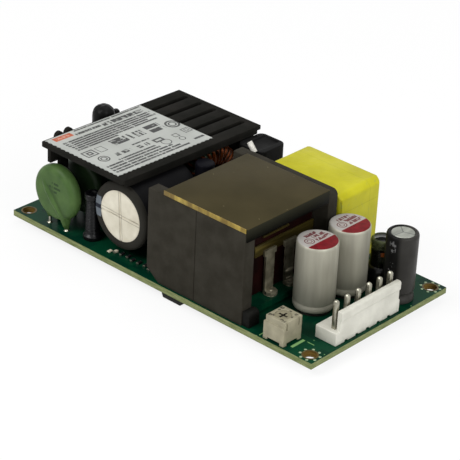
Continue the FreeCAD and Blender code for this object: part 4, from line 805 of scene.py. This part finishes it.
def scored_top():
    """Bare aluminium top with three shallow scores from the middle."""
    finish = Finish("scored_aluminium", Metallic=0.85, Specular_IOR_Level=0.3)
    x, y = finish.x - LYTIC_X, finish.y - LYTIC_Y
    scores = 0
    for turn in (20, 140, 260):
        cosine, sine = math.cos(math.radians(turn)), math.sin(math.radians(turn))
        scores = scores + abs(x * sine - y * cosine).between(0, 0.13) * (x * cosine + y * sine > 0)
    tone = finish.patches(1.8, (0.50, 0.51, 0.48), (0.66, 0.67, 0.63), 4, (1, 0.3, 1))
    tone = (scores * 0.7).blend(tone, (0.35, 0.36, 0.36))
    return finish.wear(tone, 0.3 + finish.noise(1) * 0.15, relief=1 - scores, depth=0.12)


def electrolytic():
    """Small can in a sleeve that rolls over its shoulder, with a neck above its foot."""
    profile = [(0, 0), (3.7, 0), (3.95, 0.15), (4.0, 0.8), (3.9, 1.3), (3.62, 1.7), (3.5, 2.1),
               (3.62, 2.5), (3.9, 2.75), (4.0, 3.1), (4.0, 16.6), (4.0, 16.9), (4.0, 17.4),
               (3.86, 17.85), (3.6, 18.08), (3.3, 18.1), (3.05, 17.95), (2.95, 17.6), (0, 17.6)]
    shell = turned(profile, (LYTIC_X, LYTIC_Y, BOARD_TOP), 56)
    finished(shell, "electrolytic_sleeve", electrolytic_sleeve(), ("output_electrolytic",))
    top = turned([(0, 0), (2.95, 0), (2.95, 0.2), (2.8, 0.33), (0, 0.35)],
                 (LYTIC_X, LYTIC_Y, BOARD_TOP + 17.6), 48)
    finished(top, "electrolytic_scored_top", scored_top(), ("electrolytic_top",))


electrolytic()


def filter_choke():
    """Black foot and core under a clear sleeve whose rolled top shows green-grey."""
    profile = [(0, 0), (3.7, 0), (3.9, 0.2), (3.9, 3.9), (3.7, 4.4), (3.2, 4.85), (2.75, 5.0),
               (2.7, 10.3), (2.55, 10.8), (2.1, 11.1), (0, 11.2)]
    core = turned(profile, (CHOKE_X, CHOKE_Y, BOARD_TOP), 40)
    finish = Finish("varnished_black_core", Specular_IOR_Level=0.3)
    glint = finish.x.between(38.6, 41) * finish.y.between(13.6, 15.8) * finish.z.between(11.9, 13.0)
    tone = glint.blend((0.03, 0.03, 0.03), (0.70, 0.36, 0.15))
    finish.wear(tone, 0.2 + finish.noise(2) * 0.2, relief=finish.noise(1.2, 2), depth=0.1)
    finished(core, "filter_choke_core", finish.material, ("filter_choke",))
    wall = turned([(2.75, 0), (3.0, 0), (3.0, 6.3), (2.9, 6.85), (2.6, 7.15), (2.2, 7.2), (2.2, 7.1),
                   (2.55, 7.0), (2.75, 6.7), (2.75, 0)], (CHOKE_X, CHOKE_Y, BOARD_TOP + 5.0), 40)
    clear = Finish("clear_green_sleeve", IOR=1.45, Specular_IOR_Level=0.2)
    tone = clear.patches(2, (0.24, 0.27, 0.18), (0.42, 0.45, 0.30))
    clear.wear(tone, 0.15 + clear.noise(1.5) * 0.15, relief=clear.noise(1.5, 2), depth=0.08,
               Alpha=0.06 + clear.z.ramp(13.2, 15.4) * 0.8)
    finished(wall, "filter_choke_clear_sleeve", clear.material, ("filter_choke_sleeve",))


filter_choke()


# Headers and pins

header_cream = mottled("header_cream_nylon", (0.735, 0.73, 0.685), (0.80, 0.795, 0.75), 5.0,
                       (0.36, 0.5), 0.4, 0.02)
for node in ("output_header", "input_header"):
    softened(node, 0.28, header_cream, 3)


def pin_rows():
    """Square tinned pins with domed tips, one modelled and copied along each header."""
    half, dome = 0.57, 0.55
    for node, count, pitch in (("output_pins", 6, 3.96), ("input_pins", 2, 7.92)):
        low, high = (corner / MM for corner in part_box(node))
        pin = box_piece((low.x, low.y, low.z), (high.x, low.y + 2 * half, high.z - dome))
        pick(pin, edges=lambda middle, way: abs(way.z) > 0.9)
        bevel_picked(0.16, 2)
        for shrink, rise in ((0.86, 0.22), (0.72, 0.2), (0.5, 0.13)):
            pick(pin, faces=lambda middle, way: way.z > 0.9)
            bpy.ops.mesh.extrude_region_move(TRANSFORM_OT_translate={"value": (0, 0, rise * MM)})
            bpy.ops.transform.resize(value=(shrink, shrink, 1))
            bpy.ops.object.mode_set(mode="OBJECT")
        smooth(pin, 50)
        row = join(repeat_at(pin, [(0, pitch * number, 0) for number in range(count)]))
        finished(row, node + "_domed", "tin", (node,))


pin_rows()


# Trimmer

def trimmer_finish():
    """Beige housing; scale ticks and small marks stand round the rotor on its lid."""
    finish = Finish("trimmer_beige", Specular_IOR_Level=0.25)
    x, y, z = finish.x - 38.6, finish.y + 21.85, finish.z
    tone = finish.patches(3, (0.51, 0.49, 0.41), (0.60, 0.58, 0.49))
    reach = (x * x + y * y) ** 0.5
    turn = y.maths("ARCTAN2", y, x)
    ticks = reach.between(2.15, 2.55) * turn.maths("SINE", turn * 5.1 + 0.4).between(0.72, 1.1)
    letters = abs(x).between(1.7, 2.6) * abs(y).between(1.7, 2.6) * (finish.noise(0.45, 1) > 0.44)
    printed = (ticks + letters) * (z > 10.15)
    tone = (printed * 0.85).blend(tone, (0.15, 0.14, 0.12))
    return finish.wear(tone, 0.42 + finish.noise(1.5) * 0.15, relief=finish.noise(0.3, 2), depth=0.03)


softened("trimmer_housing", 0.16, trimmer_finish(), 2)


def rotor_finish():
    """Beige rotor whose cross slot is darkened below its top with painted shade."""
    finish = Finish("rotor_beige", Specular_IOR_Level=0.2)
    tone = finish.noise(1).blend((0.46, 0.44, 0.36), (0.54, 0.52, 0.43))
    # Painted shade in the cross slot, below the rotor's top.
    tone = (finish.z < 9.97).blend(tone, (0.07, 0.06, 0.05))
    return finish.wear(tone, 0.45 + finish.noise(0.8) * 0.1, relief=finish.noise(0.3, 2), depth=0.02)


softened("trimmer_rotor", 0.05, rotor_finish(), 2, body="rotor")


# Sleeved fuse behind the cover

def sleeved_fuse():
    """Fuse in a shrunk sleeve that puckers over its top, and its sleeved return lead."""
    x = -45.0
    profile = [(0, 0), (3.1, 0), (3.2, 0.3)] + [(3.2, 0.3 + step) for step in range(1, 21)]
    profile += [(3.14, 21.4), (2.95, 22.1), (2.55, 22.8), (1.95, 23.4), (1.1, 23.75), (0.4, 23.8),
                (0, 23.7)]
    tube = turned(profile, (x, 0.9, BOARD_TOP), 48)
    modify(tube, "SUBSURF", levels=1, render_levels=1)
    ripple = bpy.data.textures.new("sleeve_ripple", "CLOUDS")
    ripple.noise_scale = 1.5 * MM
    ripple.noise_depth = 1
    modify(tube, "DISPLACE", texture=ripple, texture_coords="LOCAL", strength=0.35 * MM, mid_level=1.0)
    finish = sleeve_finish("puckered_black_sleeve", (0.045, 0.045, 0.045), 0.22)
    finished(tube, "fuse_sleeve", finish, ("sleeved_fuse",))
    lead = turned([(0, 0), (1.05, 0), (1.05, 19.8), (0.95, 20.5), (0.6, 20.95), (0, 21.0)],
                  (x, 5.4, BOARD_TOP), 20)
    finish = sleeve_finish("black_lead_sleeve", (0.05, 0.05, 0.05))
    finished(lead, "fuse_lead_sleeve", finish, ("fuse_lead",))


sleeved_fuse()


# Parts under and behind the cover

softened("mains_capacitor", 0.3, "teal", 3)
softened("bridge_rectifier", 0.35, "package", 3)
softened("rear_choke_case", 0.35, "case_black", 3)
softened("standby_capacitor", 0.45, sleeve_finish("standby_sleeve", (0.04, 0.04, 0.055), 0.3, 0.03),
         3)
softened("case_lead", 0.08, "tin")
softened("lead_sleeve", 0.08, "white_sleeve")


def wound_ring(name, x, y, radius, hole, count, skip):
    """Ring core with one turn of wire modelled and copied round it; the foot stays free."""
    wire, corner, allowance = 0.5, 1.4, 1.1
    centre = Vector((x, y, BOARD_TOP + radius + 0.2))
    low, high = (corner_point / MM for corner_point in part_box(name + "_turns"))
    middle, reach = (radius + hole) / 2, radius - hole
    leave_alone()
    bpy.ops.mesh.primitive_plane_add(size=1, location=metres(centre + Vector((0, 0, middle))),
                                     rotation=(math.pi / 2, 0, 0))
    turn = bpy.context.object
    turn.scale = ((high.x - low.x - allowance) * MM, (reach - allowance) * MM, 1)
    settle(turn)
    bpy.ops.object.mode_set(mode="EDIT")
    bpy.ops.mesh.select_all(action="SELECT")
    bpy.ops.mesh.delete(type="ONLY_FACE")
    bpy.ops.mesh.select_all(action="SELECT")
    bpy.ops.mesh.bevel(offset=corner * MM, segments=3, affect="VERTICES")
    bpy.ops.object.mode_set(mode="OBJECT")
    bpy.ops.object.convert(target="CURVE")
    turn = bpy.context.object
    turn.data.bevel_depth = wire * MM
    turn.data.bevel_resolution = 1
    bpy.ops.object.convert(target="MESH")
    turn = bpy.context.object
    spot = Matrix.Translation(centre * MM)
    wires = []
    for number in range(count):
        angle = 2 * math.pi * (number + 0.5) / count
        if abs(math.degrees(angle) - 180) >= skip:
            wires.append(twin(turn, spot @ Matrix.Rotation(angle, 4, "X") @ spot.inverted()))
    bpy.data.objects.remove(turn)
    wound = smooth(join(wires), 60)
    finished(wound, name + "_wire", "copper", (name + "_turns",))
    softened(name + "_core", 0.6, "core_green", 3, 30)


wound_ring("boost_choke", -16.2, 9.7, 10.0, 4.1, 34, 48)
wound_ring("common_choke", -30.2, 9.15, 9.0, 3.69, 30, 48)


# Small parts on both sides of the board

def chip_ends(name, starts, size, dark):
    """Small chips: a body with a soldered cap on each end, one modelled and copied."""
    length, width, height, level = size
    high = level + height
    body = box_piece((-width / 2, -length / 2 + 0.25, level), (width / 2, length / 2 - 0.25, high))
    modify(body, "BEVEL", width=0.05 * MM, segments=2)
    finished(join(repeat_at(body, starts)), name + "_bodies", dark)
    caps = []
    for side in (-1, 1):
        middle = side * (length / 2 - 0.2)
        caps.append(box_piece((-width / 2, middle - 0.2, level), (width / 2, middle + 0.2, high)))
    cap = join(caps)
    modify(cap, "BEVEL", width=0.08 * MM, segments=2)
    return join(repeat_at(cap, starts))


def chips_on_top():
    """Chips on the board before the bulk capacitor, the first ones pale."""
    starts = [(-17.3 + 2.0 * number + 0.4, -22.5 + (number % 3) * 0.27 + 0.8, 0) for number in range(7)]
    size = (1.6, 0.8, 0.5, BOARD_TOP)
    finish = Finish("row_of_chips", Specular_IOR_Level=0.15)
    tone = (finish.x < -15.9).blend((0.10, 0.10, 0.10), (0.80, 0.77, 0.68))
    finish.wear(tone, 0.5 + finish.noise(0.6) * 0.15, relief=finish.noise(0.2, 2), depth=0.02)
    caps = chip_ends("top_chip", starts, size, finish.material)
    pale = box_piece((-18.6, -23.2, BOARD_TOP), (-17.75, -21.9, BOARD_TOP + 0.35))
    modify(pale, "BEVEL", width=0.1 * MM, segments=3)
    finished(pale, "pale_chip", finish.material)
    finished(caps, "top_chip_caps", "tin", ("chip_parts_top",))


def chips_below():
    """Two rows of chips on the solder side."""
    starts = [(-31.0 + 3.6 * number + 1.0, -8.0 + row * 4.2 + 0.625, 0) for row in range(2)
              for number in range(6)]
    size = (1.25, 2.0, 0.6, BOARD_BOTTOM - 0.6)
    caps = chip_ends("lower_chip", starts, size, "package")
    finished(caps, "lower_chip_caps", "tin", ("chip_parts_under",))


chips_on_top()
chips_below()
softened("controller_chip", 0.08, "package")


def diode(node):
    """Tapered package with a tinned lead folded under each end."""
    softened(node, 0.12, "package")
    low, high = (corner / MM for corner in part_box(node))
    middle, length, half = (low.y + high.y) / 2, 1.05, 1.45
    leads = []
    for side, edge in ((-1, low.x), (1, high.x)):
        inner = edge - side * length
        foot = box_piece((min(edge, inner), middle - half, 1.05), (max(edge, inner), middle + half, 2.17))
        leads.append(modify(foot, "BEVEL", width=0.18 * MM, segments=3))
    finished(join(leads), node + "_leads", "tin")


for node in ("front_diode", "output_diode", "input_diode", "rear_diode"):
    diode(node)


def solder_cones():
    """Soft solder cones on the leads below the board, one modelled and copied."""
    mesh = NODES["solder_joints"].data
    spots = sorted({(round(v.co.x / MM, 1), round(v.co.y / MM, 1)) for v in mesh.vertices})
    groups = []
    for spot in spots:
        near = [group for group in groups if math.dist(group[0], spot) < 2.2]
        if near:
            near[0].append(spot)
        else:
            groups.append([spot])
    places = []
    for group in groups:
        low_x, high_x = min(s[0] for s in group), max(s[0] for s in group)
        low_y, high_y = min(s[1] for s in group), max(s[1] for s in group)
        places.append(((low_x + high_x) / 2, (low_y + high_y) / 2, 0))
    cone = turned([(0, 1.1), (0.94, 1.1), (0.8, 0.85), (0.5, 0.5), (0.42, 0.1), (0.3, 0), (0, 0)],
                  (0, 0, BOARD_BOTTOM - 1.1), 16)
    finished(join(repeat_at(cone, places)), "solder_cones", "tin", ("solder_joints",))


solder_cones()


# Stage, light and camera

def emptied(owner):
    """Node tree of a material or world without its first nodes."""
    owner.use_nodes = True
    owner.node_tree.nodes.clear()
    return Wire(owner.node_tree)


def mix_surface(kind, share, first, second):
    """Two shaders, mixed by a share, as the surface of a material or world."""
    both = share.node("MixShader", {}, {0: share, 1: first, 2: second})
    output = share.tree.nodes.new("ShaderNodeOutput" + kind)
    share.tree.links.new(both.socket, output.inputs["Surface"])


def stage():
    """Pale floor under plain soft light; camera and gloss see white surroundings."""
    leave_alone()
    bpy.ops.mesh.primitive_plane_add(size=6, location=(0, 0, 0))
    floor = bpy.context.object
    floor.name = "floor"
    material = bpy.data.materials.new("pale_floor")
    floor.data.materials.append(material)
    start = emptied(material)
    mix_surface("Material", start.node("LightPath", output="Is Camera Ray") * 0.84,
                start.node("BsdfDiffuse", {}, {"Color": (0.90, 0.90, 0.90, 1)}),
                start.node("Emission", {}, {"Color": (1, 1, 1, 1), "Strength": 1.0}))

    world = bpy.data.worlds.new("studio")
    bpy.context.scene.world = world
    start = emptied(world)
    camera_ray, glossy_ray, clear_ray = (start.node("LightPath", output="Is %s Ray" % kind)
                                         for kind in ("Camera", "Glossy", "Transmission"))
    shown = start.maths("MAXIMUM", camera_ray, start.maths("MAXIMUM", glossy_ray, clear_ray))
    mix_surface("World", shown, start.node("Background", {}, {"Color": (1, 1, 1, 1), "Strength": 0.3}),
                start.node("Background", {}, {"Color": (1, 1, 1, 1), "Strength": 1.0}))


def lamp(name, place, size, power):
    """Soft square lamp at a place in metres, turned to the object."""
    leave_alone()
    way = Vector((0, 0, 0.01)) - Vector(place)
    bpy.ops.object.light_add(type="AREA", location=place, rotation=way.to_track_quat("-Z", "Y").to_euler())
    item = bpy.context.object
    item.name = name
    item.data.size = size
    item.data.energy = power


def camera():
    """Camera at the photograph's angle."""
    azimuth, elevation, roll = (math.radians(turn) for turn in (41.48, 28.60, 2.77))
    aim, distance = Vector((-7.3, 10.0, 2.2)) * MM, 0.5174
    back = Vector((math.sin(azimuth) * math.cos(elevation), -math.cos(azimuth) * math.cos(elevation),
                   math.sin(elevation)))
    level = Vector((math.cos(azimuth), math.sin(azimuth), 0))
    upright = back.cross(level)
    across = math.cos(roll) * level + math.sin(roll) * upright
    up = math.cos(roll) * upright - math.sin(roll) * level
    leave_alone()
    bpy.ops.object.camera_add()
    item = bpy.context.object
    place = Matrix((across, up, back)).transposed().to_4x4()
    place.translation = aim + back * distance
    item.matrix_world = place
    item.data.lens = 157.2
    item.data.sensor_width = 36
    item.data.sensor_fit = "HORIZONTAL"
    item.data.clip_start = 0.01
    bpy.context.scene.camera = item


stage()
lamp("key_left", (-0.30, -0.85, 0.95), 0.7, 11)
lamp("fill_right", (0.95, -0.15, 0.55), 0.8, 7)
lamp("top_soft", (0.1, 0.3, 1.0), 0.9, 3)
camera()
bpy.context.scene.view_settings.view_transform = "Standard"
